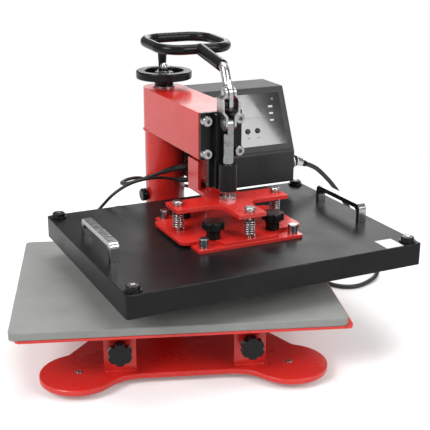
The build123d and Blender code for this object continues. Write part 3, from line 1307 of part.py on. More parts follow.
# Upper platen
nodes["heater_plate"] = heater_plate()
nodes["heating_element"] = heating_element()
nodes["platen_cover"] = platen_cover()
nodes["cover_caps"] = cover_caps()
nodes["cap_screws"] = cap_screws()
nodes["mount_plate"] = mount_plate()
nodes["cross_plate"] = cross_plate()
nodes["spring_bolts"] = spring_bolts()
nodes["corner_studs"] = corner_studs()
nodes["side_handles"] = solids_of([side_handle(-1), side_handle(1)])
nodes["rear_glands"] = solids_of([rear_gland(HEATER_GLAND_X), rear_gland(SENSOR_GLAND_X)])
for knob_index, (knob_x, knob_y) in enumerate(four_corners(PLATEN_KNOB_X, PLATEN_KNOB_Y, -REACH)):
    nodes["platen_knob_" + str(knob_index + 1)] = platen_knob(knob_x, knob_y)

# Cables
bush_end = BOX_LEFT_X - SENSOR_BUSH_LENGTH
sensor_bush = rod_x(SENSOR_BUSH_RADIUS, bush_end, BOX_LEFT_X, SENSOR_OUT[1], SENSOR_OUT[2])
nodes["box_plugs"] = solids_of([connector(RIGHT_PLUG, 1, CONNECTOR_LENGTH) + power_relief(),
                                connector(LEFT_PLUG, -1, HEATER_PLUG_LENGTH), sensor_bush])
coil_solid, coil_start, coil_way, coil_end, end_way = cord_coil()
POWER_ROUTE += [tuple(coil_start - coil_way * 30), tuple(coil_start)]
nodes["power_cord"] = cord_tube("power cord", POWER_ROUTE, POWER_CORD_RADIUS)
nodes["power_cord_coil"] = coil_solid
nodes["mains_plug"] = mains_plug(coil_end, end_way)
nodes["heater_cable"] = cord_tube("heater cable", HEATER_ROUTE, HEATER_CABLE_RADIUS)
nodes["sensor_cable"] = cord_tube("sensor cable", SENSOR_ROUTE, SENSOR_CABLE_RADIUS)

CORD_NODES = {"power_cord", "power_cord_coil", "mains_plug", "heater_cable", "sensor_cable"}

# The head turns to its place at rest, and the whole press is set on the floor
# with the origin under the middle of its footprint.
turn_head = Rot(0, 0, SWING_AT_REST)
for node_name in nodes:
    if node_name not in FIXED_NODES:
        nodes[node_name] = turn_head * nodes[node_name]

boxes = [nodes[name].bounding_box() for name in nodes if name not in CORD_NODES]
origin_x = (min(box.min.X for box in boxes) + max(box.max.X for box in boxes)) / 2
origin_y = (min(box.min.Y for box in boxes) + max(box.max.Y for box in boxes)) / 2
print("column axis at", round(-origin_x, 3), round(-origin_y, 3))

os.makedirs("parts", exist_ok=True)
for node_name, node_shape in nodes.items():
    export_step(Pos(-origin_x, -origin_y, 0) * node_shape, "parts/" + node_name + ".step")
print(len(nodes), "nodes")
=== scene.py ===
"""Looks of the swing-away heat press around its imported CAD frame."""
import math

import bmesh
import bpy
from mathutils import Matrix, Vector, noise


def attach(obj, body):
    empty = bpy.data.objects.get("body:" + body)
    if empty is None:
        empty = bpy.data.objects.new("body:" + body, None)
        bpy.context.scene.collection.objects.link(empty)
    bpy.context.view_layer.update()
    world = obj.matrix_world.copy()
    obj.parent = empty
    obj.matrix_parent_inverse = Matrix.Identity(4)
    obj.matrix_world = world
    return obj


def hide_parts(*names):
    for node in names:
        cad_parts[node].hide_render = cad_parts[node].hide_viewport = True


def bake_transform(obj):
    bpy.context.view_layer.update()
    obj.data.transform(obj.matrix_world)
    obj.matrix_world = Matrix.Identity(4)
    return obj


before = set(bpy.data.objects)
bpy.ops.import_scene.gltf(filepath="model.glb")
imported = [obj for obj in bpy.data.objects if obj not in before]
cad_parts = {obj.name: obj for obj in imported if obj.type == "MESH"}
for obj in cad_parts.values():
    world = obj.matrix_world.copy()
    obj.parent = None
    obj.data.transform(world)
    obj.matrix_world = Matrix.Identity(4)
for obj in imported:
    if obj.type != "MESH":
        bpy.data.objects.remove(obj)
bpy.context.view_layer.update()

MM = 0.001
AXIS_X, AXIS_Y = -47.231, 149.874      # column axis in the row frame, mm
SWING = math.radians(19.0)             # stance of the head, anticlockwise
HEAD = (Matrix.Translation((AXIS_X * MM, AXIS_Y * MM, 0)) @ Matrix.Rotation(SWING, 4, "Z")
        @ Matrix.Diagonal((MM, MM, MM, 1)))
BASE = Matrix.Translation((AXIS_X * MM, AXIS_Y * MM, 0)) @ Matrix.Diagonal((MM, MM, MM, 1))
REACH = 198.7                          # column axis to the middle of the lower platen, mm

# Camera, in pixels, metres and radians
FOCAL_PIXELS, FRAME_PIXELS, SENSOR_MM = 919.162, 430, 36
CAMERA_PLACE = (-0.13222, -1.11513, 0.51870)
CAMERA_YAW, CAMERA_PITCH, CAMERA_ROLL = 0.12383977, 0.32299655, 0.00705823

# Silicone pad, in mm
PAD_WIDTH, PAD_DEPTH, PAD_CORNER = 380, 290, 7
PAD_BOTTOM, PAD_THICKNESS, PAD_OFFSET_X = 70, 10, -6
PAD_MIDDLE_INSET = 144.7               # inset at which the pad's rings close up

# Places on the head and the stand, in mm
BOX_RIGHT, BOX_LEFT = 157.0, 28.75
COVER_TOP = 136.6
POST_X, POST_HALF_WIDTH = 75, 17
POST_WELD_Y, POST_WELD_Z, POST_BEAD = -317.3, 14.3, 1.5
KNURL_LEAST_RADIUS = 9                 # smaller turned shapes stay smooth
PANEL_LEAN = math.atan2(39.2, 86.0)
PANEL_CHIN_Y, PANEL_CHIN_Z = -94.2, 195.5
MARK_LIFT = 1.56                       # printed marks above the panel's sheet
BUTTON_FIRST_X, BUTTON_PITCH = 74.1, 15.3

# Meshes and rubber sleeves, in metres
MERGE_DISTANCE = 0.00002               # points nearer than this become one
RING_STEP, RIB_DEPTH, SLEEVE_WALL = 0.0007, 0.00035, 0.0006
SLEEVE_RIBS = 9

# Floor and world
FLOOR_GREY, FLOOR_GLOW = 0.80, 0.17
WHITE_START, WHITE_END = 0.45, 0.85    # distance over which the floor turns plain white, m
WORLD_GREY = 0.32


# Camera and light

def add_camera():
    """Camera fitted to the corners of the two platens in the photograph."""
    yaw, pitch, roll = CAMERA_YAW, CAMERA_PITCH, CAMERA_ROLL
    ahead = Vector((math.sin(yaw) * math.cos(pitch), math.cos(yaw) * math.cos(pitch), -math.sin(pitch)))
    right = Vector((math.cos(yaw), -math.sin(yaw), 0))
    up = right.cross(ahead)
    across = right * math.cos(roll) + up * math.sin(roll)
    above = up * math.cos(roll) - right * math.sin(roll)
    data = bpy.data.cameras.new("camera")
    data.sensor_width = SENSOR_MM
    data.lens = SENSOR_MM * FOCAL_PIXELS / FRAME_PIXELS
    camera = bpy.data.objects.new("camera", data)
    turned = Matrix((across, above, -ahead)).transposed().to_4x4()
    camera.matrix_world = Matrix.Translation(CAMERA_PLACE) @ turned
    bpy.context.scene.collection.objects.link(camera)
    bpy.context.scene.camera = camera


def softbox(name, place, aim, width, height, power, top=(0, 0, 1)):
    """Rectangular lamp that faces aim, with its height along the direction called top."""
    data = bpy.data.lights.new(name, "AREA")
    data.shape = "RECTANGLE"
    data.size, data.size_y = width, height
    data.energy = power
    lamp = bpy.data.objects.new(name, data)
    away = (Vector(place) - Vector(aim)).normalized()
    across = Vector(top).cross(away).normalized()
    turned = Matrix((across, away.cross(across), away)).transposed().to_4x4()
    lamp.matrix_world = Matrix.Translation(place) @ turned
    bpy.context.scene.collection.objects.link(lamp)


# Node helper

class Net:
    """Builds one material's node tree."""

    def __init__(self, name):
        self.material = bpy.data.materials.new(name)
        self.material.use_nodes = True
        self.tree = self.material.node_tree
        self.tree.nodes.clear()
        self.place = self.add("TexCoord").outputs["Object"]

    def add(self, kind, values=None, **settings):
        node = self.tree.nodes.new("ShaderNode" + kind)
        for key, value in settings.items():
            setattr(node, key, value)
        for key, value in (values or {}).items():
            if isinstance(value, bpy.types.NodeSocket):
                self.tree.links.new(value, node.inputs[key])
            else:
                node.inputs[key].default_value = value
        return node

    def noise(self, scale, detail=3.0, rough=0.55, place=None, distortion=0.0):
        values = {"Vector": place or self.place, "Scale": scale, "Detail": detail,
                  "Roughness": rough, "Distortion": distortion}
        return self.add("TexNoise", values).outputs["Fac"]

    def cells(self, scale, feature="F1"):
        return self.add("TexVoronoi", {"Vector": self.place, "Scale": scale},
                        feature=feature).outputs["Distance"]

    def span(self, value, low, high, to_low=0.0, to_high=1.0):
        values = {"Value": value, "From Min": low, "From Max": high, "To Min": to_low, "To Max": to_high}
        return self.add("MapRange", values).outputs["Result"]

    def math(self, kind, a, b=0.0):
        return self.add("Math", {0: a, 1: b}, operation=kind).outputs[0]

    def blend(self, a, b, share):
        """Colour a where share is 0 and b where it is 1."""
        node = self.add("Mix", {"Factor": share}, data_type="RGBA")
        for index, value in ((6, a), (7, b)):
            if isinstance(value, bpy.types.NodeSocket):
                self.tree.links.new(value, node.inputs[index])
            else:
                node.inputs[index].default_value = (*value, 1)
        return node.outputs[2]

    def stretched(self, x, y, z):
        return self.add("Mapping", {"Vector": self.place, "Scale": (x, y, z)}).outputs["Vector"]

    def soft_edges(self, radius):
        return self.add("Bevel", {"Radius": radius}, samples=6).outputs["Normal"]

    def edges(self, radius, sharp=0.985):
        """1 along the outer and inner edges of a piece and 0 on its faces."""
        normal = self.add("NewGeometry").outputs["Normal"]
        dot = self.add("VectorMath", {0: normal, 1: self.soft_edges(radius)}, operation="DOT_PRODUCT")
        return self.span(dot.outputs["Value"], 1.0, sharp)

    def bump(self, height, depth, normal=None):
        values = {"Height": height, "Distance": depth}
        if normal is not None:
            values["Normal"] = normal
        return self.add("Bump", values).outputs["Normal"]

    def surface(self, **values):
        """Finished material; the names are the shader's inputs, with underscores for spaces."""
        shader = self.add("BsdfPrincipled", {key.replace("_", " "): value for key, value in values.items()})
        out = self.add("OutputMaterial")
        self.tree.links.new(shader.outputs[0], out.inputs["Surface"])
        return self.material


# Materials

def painted(name, colour, worn, rough=0.3, peel=0.00002, coat=0.3, level=0.35):
    """Glossy powder coat with orange peel, faint handling marks and thin paint on the edges."""
    net = Net(name)
    patches = net.noise(6, 1)
    fine = net.noise(420, 3)
    edge = net.math("MULTIPLY", net.edges(0.0009), net.span(net.noise(160, 4), 0.4, 0.7))
    shade = net.blend(tuple(c * 0.92 for c in colour), colour, net.span(patches, 0.3, 0.7))
    shade = net.blend(shade, worn, net.math("MULTIPLY", edge, 0.4))
    rubbed = net.span(net.noise(45, 2, 0.5), 0.50, 0.85)
    shade = net.blend(shade, tuple(c * 0.8 + 0.012 for c in colour), net.math("MULTIPLY", rubbed, 0.15))
    smudge = net.span(net.noise(26, 3, 0.5), 0.35, 0.75, rough - 0.04, rough + 0.06)
    normal = net.bump(fine, peel, net.soft_edges(0.0007))
    return net.surface(Base_Color=shade, Roughness=smudge, Normal=normal, Coat_Weight=coat,
                       Coat_Roughness=0.14, Specular_IOR_Level=level)


def black_sheet():
    """Fine textured black coat of the heater cover, with dust, and edges painted lighter grey, partly as
    rubbed paint and partly as a painted edge highlight.
    """
    net = Net("black_sheet")
    grain = net.noise(1500, 3)
    clouds = net.noise(14, 5, 0.6, distortion=0.5)
    scratch = net.noise(1.0, 4, 0.6, net.stretched(18, 420, 420))
    shade = net.blend((0.006, 0.006, 0.0065), (0.012, 0.012, 0.0125), net.span(clouds, 0.3, 0.7))
    dust = net.math("MULTIPLY", net.span(net.cells(330), 0.06, 0.02), 0.25)
    shade = net.blend(shade, (0.17, 0.165, 0.16), dust)
    # Edges painted lighter grey: partly rubbed paint, partly a painted highlight where the rim catches
    # light.
    edge = net.math("MULTIPLY", net.edges(0.0012), net.span(net.noise(120, 4), 0.45, 0.75))
    shade = net.blend(shade, (0.10, 0.10, 0.10), net.math("MULTIPLY", edge, 0.6))
    rough = net.span(clouds, 0.3, 0.75, 0.27, 0.40)
    rough = net.math("ADD", rough, net.span(scratch, 0.62, 0.75, 0.0, 0.12))
    normal = net.bump(grain, 0.00005, net.soft_edges(0.0010))
    return net.surface(Base_Color=shade, Roughness=rough, Normal=normal, Specular_IOR_Level=0.12)


def moulded(name, colour, rough, grain=0.00002, scale=1400):
    """Moulded black plastic: fine grain, rubbed edges and finger marks."""
    net = Net(name)
    fine = net.noise(scale, 3)
    marks = net.noise(55, 5, 0.6, distortion=1.0)
    edge = net.math("MULTIPLY", net.edges(0.0008), 0.5)
    shade = net.blend(colour, tuple(c * 2.6 + 0.012 for c in colour), edge)
    shade = net.blend(shade, tuple(c * 1.5 for c in colour), net.span(marks, 0.4, 0.75))
    rough_map = net.span(marks, 0.3, 0.75, rough - 0.05, rough + 0.14)
    normal = net.bump(fine, grain, net.soft_edges(0.0008))
    return net.surface(Base_Color=shade, Roughness=rough_map, Normal=normal, Specular_IOR_Level=0.17)


def metal(name, colour, dark, rough, brush=(60, 60, 900)):
    """Plated steel with fine directional scratches and darker spots."""
    net = Net(name)
    lines = net.noise(1.0, 4, 0.65, net.stretched(*brush))
    spots = net.noise(150, 4, 0.6)
    shade = net.blend(dark, colour, net.span(spots, 0.28, 0.5))
    rough_map = net.math("ADD", net.span(lines, 0.3, 0.7, rough - 0.04, rough + 0.08),
                         net.span(spots, 0.5, 0.75, 0.0, 0.10))
    normal = net.bump(lines, 0.00001, net.soft_edges(0.0004))
    return net.surface(Base_Color=shade, Metallic=1.0, Roughness=rough_map, Normal=normal)


def silicone():
    """Grey silicone pad: matte, faintly mottled, with pressed-in lint and dark specks."""
    net = Net("pad_silicone")
    mottled = net.noise(26, 6, 0.62)
    grain = net.noise(900, 3)
    shade = net.blend((0.205, 0.210, 0.200), (0.245, 0.250, 0.238), net.span(mottled, 0.3, 0.7))
    lint = net.math("MULTIPLY", net.span(net.cells(240), 0.07, 0.03), 0.35)
    shade = net.blend(shade, (0.38, 0.38, 0.36), lint)
    specks = net.span(net.noise(600, 2), 0.63, 0.72)
    shade = net.blend(shade, (0.15, 0.15, 0.145), net.math("MULTIPLY", specks, 0.4))
    pores = net.math("ADD", grain, net.math("MULTIPLY", mottled, 2.0))
    return net.surface(Base_Color=shade, Roughness=net.span(mottled, 0.3, 0.7, 0.72, 0.86),
                       Normal=net.bump(pores, 0.00012, net.soft_edges(0.0006)), Sheen_Weight=0.12)


def box_paint():
    """Wrinkle-textured dark grey coat of the control box."""
    net = Net("box_paint")
    wrinkle = net.cells(720, "SMOOTH_F1")
    fine = net.noise(1600, 3)
    clouds = net.noise(20, 4)
    shade = net.blend((0.017, 0.017, 0.0175), (0.028, 0.028, 0.0285), net.span(clouds, 0.3, 0.7))
    shade = net.blend(shade, (0.060, 0.060, 0.061), net.math("MULTIPLY", net.span(wrinkle, 0.5, 0.1), 0.5))
    edge = net.math("MULTIPLY", net.edges(0.0012), 0.35)
    shade = net.blend(shade, (0.16, 0.16, 0.16), edge)
    height = net.math("ADD", net.math("MULTIPLY", wrinkle, 1.5), fine)
    return net.surface(Base_Color=shade, Roughness=net.span(fine, 0.3, 0.7, 0.42, 0.56),
                       Normal=net.bump(height, 0.00016, net.soft_edges(0.0012)), Specular_IOR_Level=0.4)


def rubber(name, colour=(0.016, 0.016, 0.017), rough=0.55):
    """Dull rubber or cord jacket with patches of dust."""
    net = Net(name)
    grain = net.noise(1100, 4)
    dust = net.noise(60, 5, 0.6)
    shade = net.blend(colour, (0.055, 0.054, 0.052), net.math("MULTIPLY", net.span(dust, 0.45, 0.8), 0.6))
    return net.surface(Base_Color=shade, Roughness=net.span(dust, 0.3, 0.7, rough - 0.08, rough + 0.1),
                       Normal=net.bump(grain, 0.00004, net.soft_edges(0.0005)))


def label_film():
    """Glossy dark film of the panel, faintly mottled."""
    net = Net("label_film")
    clouds = net.noise(35, 3)
    shade = net.blend((0.012, 0.012, 0.013), (0.020, 0.020, 0.021), net.span(clouds, 0.3, 0.7))
    grain = net.noise(2200, 2)
    return net.surface(Base_Color=shade, Roughness=net.span(clouds, 0.3, 0.7, 0.07, 0.11),
                       Normal=net.bump(grain, 0.000003), Coat_Weight=1.0, Coat_Roughness=0.05)


def display_glass():
    """Dark window of the display, with a slight haze."""
    net = Net("display_glass")
    haze = net.noise(90, 4)
    shade = net.blend((0.004, 0.005, 0.005), (0.012, 0.014, 0.013), net.span(haze, 0.3, 0.8))
    return net.surface(Base_Color=shade, Roughness=net.span(haze, 0.3, 0.7, 0.05, 0.12),
                       Coat_Weight=1.0, Coat_Roughness=0.03)


def printed(name, colour, rough=0.45):
    """Ink or paper with a slight mottle."""
    net = Net(name)
    fibre = net.noise(1800, 4)
    shade = net.blend(tuple(c * 0.88 for c in colour), colour, net.span(fibre, 0.3, 0.6))
    return net.surface(Base_Color=shade, Roughness=net.span(fibre, 0.3, 0.7, rough - 0.05, rough + 0.08),
                       Normal=net.bump(fibre, 0.00002))


def heater_metal():
    """Cast and milled aluminium of the heater plate, slightly heat-stained."""
    net = Net("heater_aluminium")
    lines = net.noise(1.0, 4, 0.6, net.stretched(600, 30, 600))
    stain = net.noise(22, 5, 0.6)
    shade = net.blend((0.36, 0.33, 0.29), (0.56, 0.55, 0.54), net.span(stain, 0.3, 0.62))
    return net.surface(Base_Color=shade, Metallic=1.0, Roughness=net.span(lines, 0.3, 0.7, 0.34, 0.5),
                       Normal=net.bump(lines, 0.00003, net.soft_edges(0.0008)))


red = painted("red_paint", (0.60, 0.020, 0.015), (0.75, 0.16, 0.12))
black_cast = painted("black_cast", (0.008, 0.008, 0.0085), (0.10, 0.10, 0.10), 0.36, 0.00005, 0.0, 0.2)
sheet_black = black_sheet()
knob_black = moulded("knob_plastic", (0.006, 0.006, 0.0065), 0.20)
grip_black = moulded("grip_plastic", (0.006, 0.006, 0.0065), 0.19, 0.00002, 900)
panel_black = moulded("panel_plastic", (0.045, 0.046, 0.048), 0.42, 0.00003, 1200)
chrome = metal("chrome", (0.50, 0.50, 0.51), (0.33, 0.325, 0.32), 0.13)
zinc = metal("zinc", (0.42, 0.42, 0.43), (0.25, 0.245, 0.24), 0.24)
link_zinc = metal("link_zinc", (0.46, 0.46, 0.465), (0.30, 0.295, 0.29), 0.30)
shaft_steel = metal("shaft_steel", (0.30, 0.30, 0.305), (0.17, 0.168, 0.165), 0.16, (40, 40, 260))
bar_steel = metal("bar_steel", (0.46, 0.46, 0.465), (0.28, 0.275, 0.27), 0.25, (900, 900, 50))
spring_metal = metal("spring_steel", (0.52, 0.52, 0.53), (0.30, 0.295, 0.29), 0.20)
bushing = metal("bushing_steel", (0.40, 0.39, 0.37), (0.24, 0.23, 0.215), 0.3)
handle_steel = metal("handle_steel", (0.42, 0.42, 0.425), (0.27, 0.265, 0.26), 0.17, (60, 420, 420))
pad_grey = silicone()
box_grey = box_paint()
foot_rubber = rubber("foot_rubber")
jacket = rubber("cord_jacket", (0.013, 0.013, 0.014), 0.42)
film = label_film()
glass = display_glass()
aluminium = heater_metal()
white_film = printed("white_film", (0.60, 0.60, 0.59))
mark_white = printed("mark_white", (0.62, 0.62, 0.62))
mark_grey = printed("mark_grey", (0.22, 0.22, 0.22))

FINISH = {
    red: ["base_plate", "platen_posts", "lower_carrier", "column_post", "swing_sleeve", "arm",
          "spring_bracket", "guide_cheeks", "mount_plate", "cross_plate"],
    black_cast: ["front_plate", "guide_block"],
    sheet_black: ["platen_cover"],
    knob_black: ["handwheel", "wheel_spinner", "box_plugs", "column_knob", "panel_button_1",
                 "panel_button_2", "panel_button_3", "cover_caps", "rear_glands", "platen_knob_1",
                 "platen_knob_2", "platen_knob_3", "platen_knob_4", "lower_knob_left", "lower_knob_right"],
    grip_black: ["grip"],
    panel_black: ["panel_bezel"],
    chrome: ["pressure_screw", "fulcrum_pin", "crank_pin"],
    handle_steel: ["side_handles"],
    link_zinc: ["link_straps"],
    shaft_steel: ["ram_shaft"],
    zinc: ["foot_screws", "post_nut", "thrust_washer", "front_bolts", "ram_nuts", "heating_element",
           "cap_screws", "spring_bolts", "corner_studs"],
    bar_steel: ["lever_bar"],
    spring_metal: ["press_springs"],
    bushing: ["spring_bushings"],
    pad_grey: ["lower_pad"],
    box_grey: ["control_box", "box_back"],
    foot_rubber: ["rubber_feet"],
    jacket: ["power_cord", "power_cord_coil", "mains_plug", "heater_cable", "sensor_cable"],
    film: ["panel_label"],
    glass: ["display_window"],
    aluminium: ["heater_plate"],
}
for finish, names in FINISH.items():
    for name in names:
        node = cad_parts[name]
        node.data.materials.clear()
        node.data.materials.append(finish)


# Mesh helpers

def piece(name, mesh, finish, body, smooth=True):
    """Links a finished mesh as a piece that rides on a body."""
    obj = bpy.data.objects.new(name, mesh)
    bpy.context.scene.collection.objects.link(obj)
    mesh.materials.clear()
    mesh.materials.append(finish)
    if smooth:
        mesh.polygons.foreach_set("use_smooth", [True] * len(mesh.polygons))
    if body:
        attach(obj, body)
    return obj


def cable_curve(name, points, radius):
    """Open NURBS spline through the route, with a round bevel."""
    data = bpy.data.curves.new(name, "CURVE")
    data.dimensions = "3D"
    data.resolution_u = 8
    data.bevel_depth = radius
    data.bevel_resolution = 4
    data.use_fill_caps = True
    spline = data.splines.new("NURBS")
    spline.points.add(len(points) - 1)
    for slot, point in zip(spline.points, points):
        slot.co = (*point, 1)
    spline.order_u = 3
    spline.use_endpoint_u = True
    obj = bpy.data.objects.new(name, data)
    bpy.context.scene.collection.objects.link(obj)
    return obj


def spline_points(name, points):
    """Points of the route's smooth line, in order."""
    probe = cable_curve(name + "_line", points, 0.0)
    mesh = bpy.data.meshes.new_from_object(probe)
    line = [tuple(v.co) for v in mesh.vertices]
    bpy.data.meshes.remove(mesh)
    bpy.data.objects.remove(probe)
    return line


def cable_mesh(name, points, radius):
    """Mesh tube along the route's smooth line."""
    probe = cable_curve(name + "_tube", points, radius)
    mesh = bpy.data.meshes.new_from_object(probe)
    mesh.name = name
    bpy.data.objects.remove(probe)
    return mesh


def path_length(points):
    """Length of the line through the points."""
    return sum((Vector(b) - Vector(a)).length for a, b in zip(points, points[1:]))


# Mesh pieces, drawn in millimetres in the head's or the base's own frame

def drawn(name, points, faces, matrix):
    """Mesh from points and faces, with its normals turned outwards."""
    mesh = bpy.data.meshes.new(name)
    mesh.from_pydata([matrix @ Vector(p) for p in points], [], faces)
    work = bmesh.new()
    work.from_mesh(mesh)
    bmesh.ops.remove_doubles(work, verts=work.verts, dist=MERGE_DISTANCE)
    bmesh.ops.recalc_face_normals(work, faces=work.faces)
    work.to_mesh(mesh)
    work.free()
    return mesh


def bridged(rings):
    """Points of closed rings of equal count, and the faces between them."""
    count = len(rings[0])
    faces = []
    for level in range(len(rings) - 1):
        for index in range(count):
            after = (index + 1) % count
            low = level * count
            faces.append((low + index, low + after, low + count + after, low + count + index))
    return [point for ring in rings for point in ring], faces


def rounded_ring(width, depth, corner, inset, z, arc=7, sides=(30, 22)):
    """Points round a rectangle with round corners, drawn in by inset."""
    half_w, half_d = width / 2 - inset, depth / 2 - inset
    radius = max(corner - inset, 0.2)
    ring = []
    for turn, (sx, sy) in enumerate(((1, 1), (-1, 1), (-1, -1), (1, -1))):
        cx, cy = sx * (half_w - radius), sy * (half_d - radius)
        for step in range(arc + 1):
            angle = math.radians(90 * (turn + step / arc))
            ring.append((cx + radius * math.cos(angle), cy + radius * math.sin(angle), z))
        nx, ny = ((-1, 1), (-1, -1), (1, -1), (1, 1))[turn]
        start = ring[-1]
        end_angle = math.radians(90 * (turn + 1))
        end = (nx * (half_w - radius) + radius * math.cos(end_angle),
               ny * (half_d - radius) + radius * math.sin(end_angle), z)
        parts = sides[turn % 2]
        for step in range(1, parts):
            share = step / parts
            ring.append((start[0] + (end[0] - start[0]) * share,
                         start[1] + (end[1] - start[1]) * share, z))
    return ring


def pad_mesh():
    """Silicone pad: soft edges, sides a little uneven and a top that isn't quite flat."""
    profile = [(PAD_MIDDLE_INSET, 0), (90, 0), (40, 0), (8, 0), (1.3, 0), (0.4, 0.35), (0.05, 1.1),
               (0.15, 3.5), (0.2, 6.5), (0.05, 8.7), (0.35, 9.45), (1.0, 9.8), (2.2, 9.93), (5, 9.97)]
    top_insets = (9, 14, 20, 27, 35, 44, 54, 65, 77, 90, 104, 119, 134, PAD_MIDDLE_INSET)
    profile += [(inset, PAD_THICKNESS) for inset in top_insets]
    rings = []
    for inset, up in profile:
        ring = []
        for x, y, z in rounded_ring(PAD_WIDTH, PAD_DEPTH, PAD_CORNER, inset, PAD_BOTTOM + up):
            place = Vector((x, y, 0)) * 0.018
            sway = 0.16 * noise.noise(place * 2.2 + Vector((0, 0, up * 0.25)))
            if 0 < up < 9.9:
                x *= 1 - abs(sway) / (PAD_WIDTH / 2)
                y *= 1 - abs(sway) / (PAD_DEPTH / 2)
            if up >= 9.9 and inset > 3:
                z -= 0.10 + 0.10 * noise.noise(place)
            ring.append((x + PAD_OFFSET_X, y - REACH, z))
        rings.append(ring)
    return drawn("pad_skin", *bridged(rings), BASE)


def lathe(profile, steps, ripple=None):
    """Rings of a turned shape round Z, from (radius, z); ripple(angle) is added to the radius."""
    rings = []
    for radius, z in profile:
        ring = []
        for step in range(steps):
            angle = 2 * math.pi * step / steps
            reach = radius + (ripple(angle) if ripple and radius > KNURL_LEAST_RADIUS else 0)
            ring.append((reach * math.cos(angle), reach * math.sin(angle), z))
        rings.append(ring)
    return bridged(rings)


def coupling_ring(name, place, way, inner, outer, length):
    """Knurled bright sleeve on a round plug, with a groove in the middle and eased ends."""
    def knurl(angle):
        return 0.28 * abs(math.sin(angle * 18))
    middle = length / 2
    profile = [(inner, 0.2), (outer - 0.5, 0.2), (outer, 0.7), (outer, middle - 0.9),
               (outer - 0.9, middle - 0.4), (outer - 0.9, middle + 0.4), (outer, middle + 0.9),
               (outer, length - 0.7), (outer - 0.5, length - 0.2), (inner, length), (inner, 0.2)]
    points, faces = lathe(profile, 144, knurl)
    return drawn(name, aimed(points, place, way), faces, HEAD)


def aimed(points, place, way):
    """Points drawn along Z, turned to run along way from place."""
    turn = Vector(way).to_track_quat("Z", "Y")
    return [tuple(Vector(place) + turn @ Vector(point)) for point in points]


def plug_cone(name, place, way):
    """Bright tapered collar between the round plug and its cord."""
    profile = [(5.6, 0.3), (7.1, 0.3), (7.6, 0.8), (7.6, 2.6), (7.2, 3.0), (7.2, 3.6), (7.0, 4.0),
               (5.9, 11.6), (5.5, 12.4), (4.9, 12.6), (5.6, 0.3)]
    points, faces = lathe(profile, 72)
    return drawn(name, aimed(points, place, way), faces, HEAD)


def sleeve_mesh(name, line, start_radius, end_radius, length, ribs):
    """Ribbed rubber sleeve on the first stretch of a cable, in metres."""
    rings, run = [], 0.0
    for index in range(1, len(line)):
        here, before = Vector(line[index]), Vector(line[index - 1])
        pieces = max(1, int((here - before).length / RING_STEP))
        way = (here - before).normalized()
        side = way.cross(Vector((0, 0, 1))).normalized()
        up = side.cross(way)
        for step in range(pieces):
            along = run + (here - before).length * step / pieces
            if along > length:
                break
            share = along / length
            rib = RIB_DEPTH * (1 if math.sin(2 * math.pi * ribs * share) > -0.2 else -0.6)
            radius = start_radius + (end_radius - start_radius) * share + rib
            middle = before + (here - before) * step / pieces
            rings.append([tuple(middle + (side * math.cos(a) + up * math.sin(a)) * radius)
                          for a in (2 * math.pi * k / 24 for k in range(24))])
        run += (here - before).length
        if run > length:
            break
    return drawn(name, *bridged(rings), Matrix.Identity(4))


def bead_mesh(name, path, radius, matrix, closed=False):
    """Weld bead along a path, with the ripple that each puddle leaves."""
    rings = []
    count = len(path)
    for index, point in enumerate(path):
        ahead = Vector(path[(index + 1) % count if closed else min(index + 1, count - 1)])
        behind = Vector(path[(index - 1) % count if closed else max(index - 1, 0)])
        way = (ahead - behind).normalized()
        side = way.cross(Vector((0, 0, 1))).normalized()
        up = side.cross(way)
        end = 1.0 if closed else min(1.0, 0.35 + min(index, count - 1 - index) * 0.3)
        size = radius * end * (1 + 0.16 * abs(math.sin(index * 0.55)) + 0.06 * math.sin(index * 0.17))
        ring = [tuple(Vector(point) + (side * math.cos(a) + up * math.sin(a)) * size)
                for a in (2 * math.pi * step / 10 for step in range(10))]
        rings.append(ring)
    if closed:
        rings.append(rings[0])
    return drawn(name, *bridged(rings), matrix)


def circle_path(radius, z, count=260):
    """Points round a circle about the column's axis."""
    return [(radius * math.cos(2 * math.pi * i / count), radius * math.sin(2 * math.pi * i / count), z)
            for i in range(count)]


def straight_path(x0, x1, y, z, step=0.9):
    """Points along X with a hand's slight waver."""
    count = int(abs(x1 - x0) / step)
    return [(x0 + (x1 - x0) * i / count, y + 0.12 * math.sin(i * 0.8), z) for i in range(count + 1)]


def flat_film(name, corners, thickness, matrix, cells=(14, 6), rim_lift=0.02):
    """Thin film between four corners, given anticlockwise from above, with its rim pressed down."""
    a, b, c, d = [Vector(p) for p in corners]
    normal = (b - a).cross(d - a).normalized()
    points, faces = [], []
    for row in range(cells[1] + 1):
        v = row / cells[1]
        for column in range(cells[0] + 1):
            u = column / cells[0]
            place = (a * (1 - u) + b * u) * (1 - v) + (d * (1 - u) + c * u) * v
            rim = min(u, 1 - u, v, 1 - v) == 0
            points.append(tuple(place + normal * (rim_lift if rim else thickness)))
    for row in range(cells[1]):
        for column in range(cells[0]):
            low = row * (cells[0] + 1) + column
            faces.append((low, low + 1, low + cells[0] + 2, low + cells[0] + 1))
    return drawn(name, points, faces, matrix)


# Cables

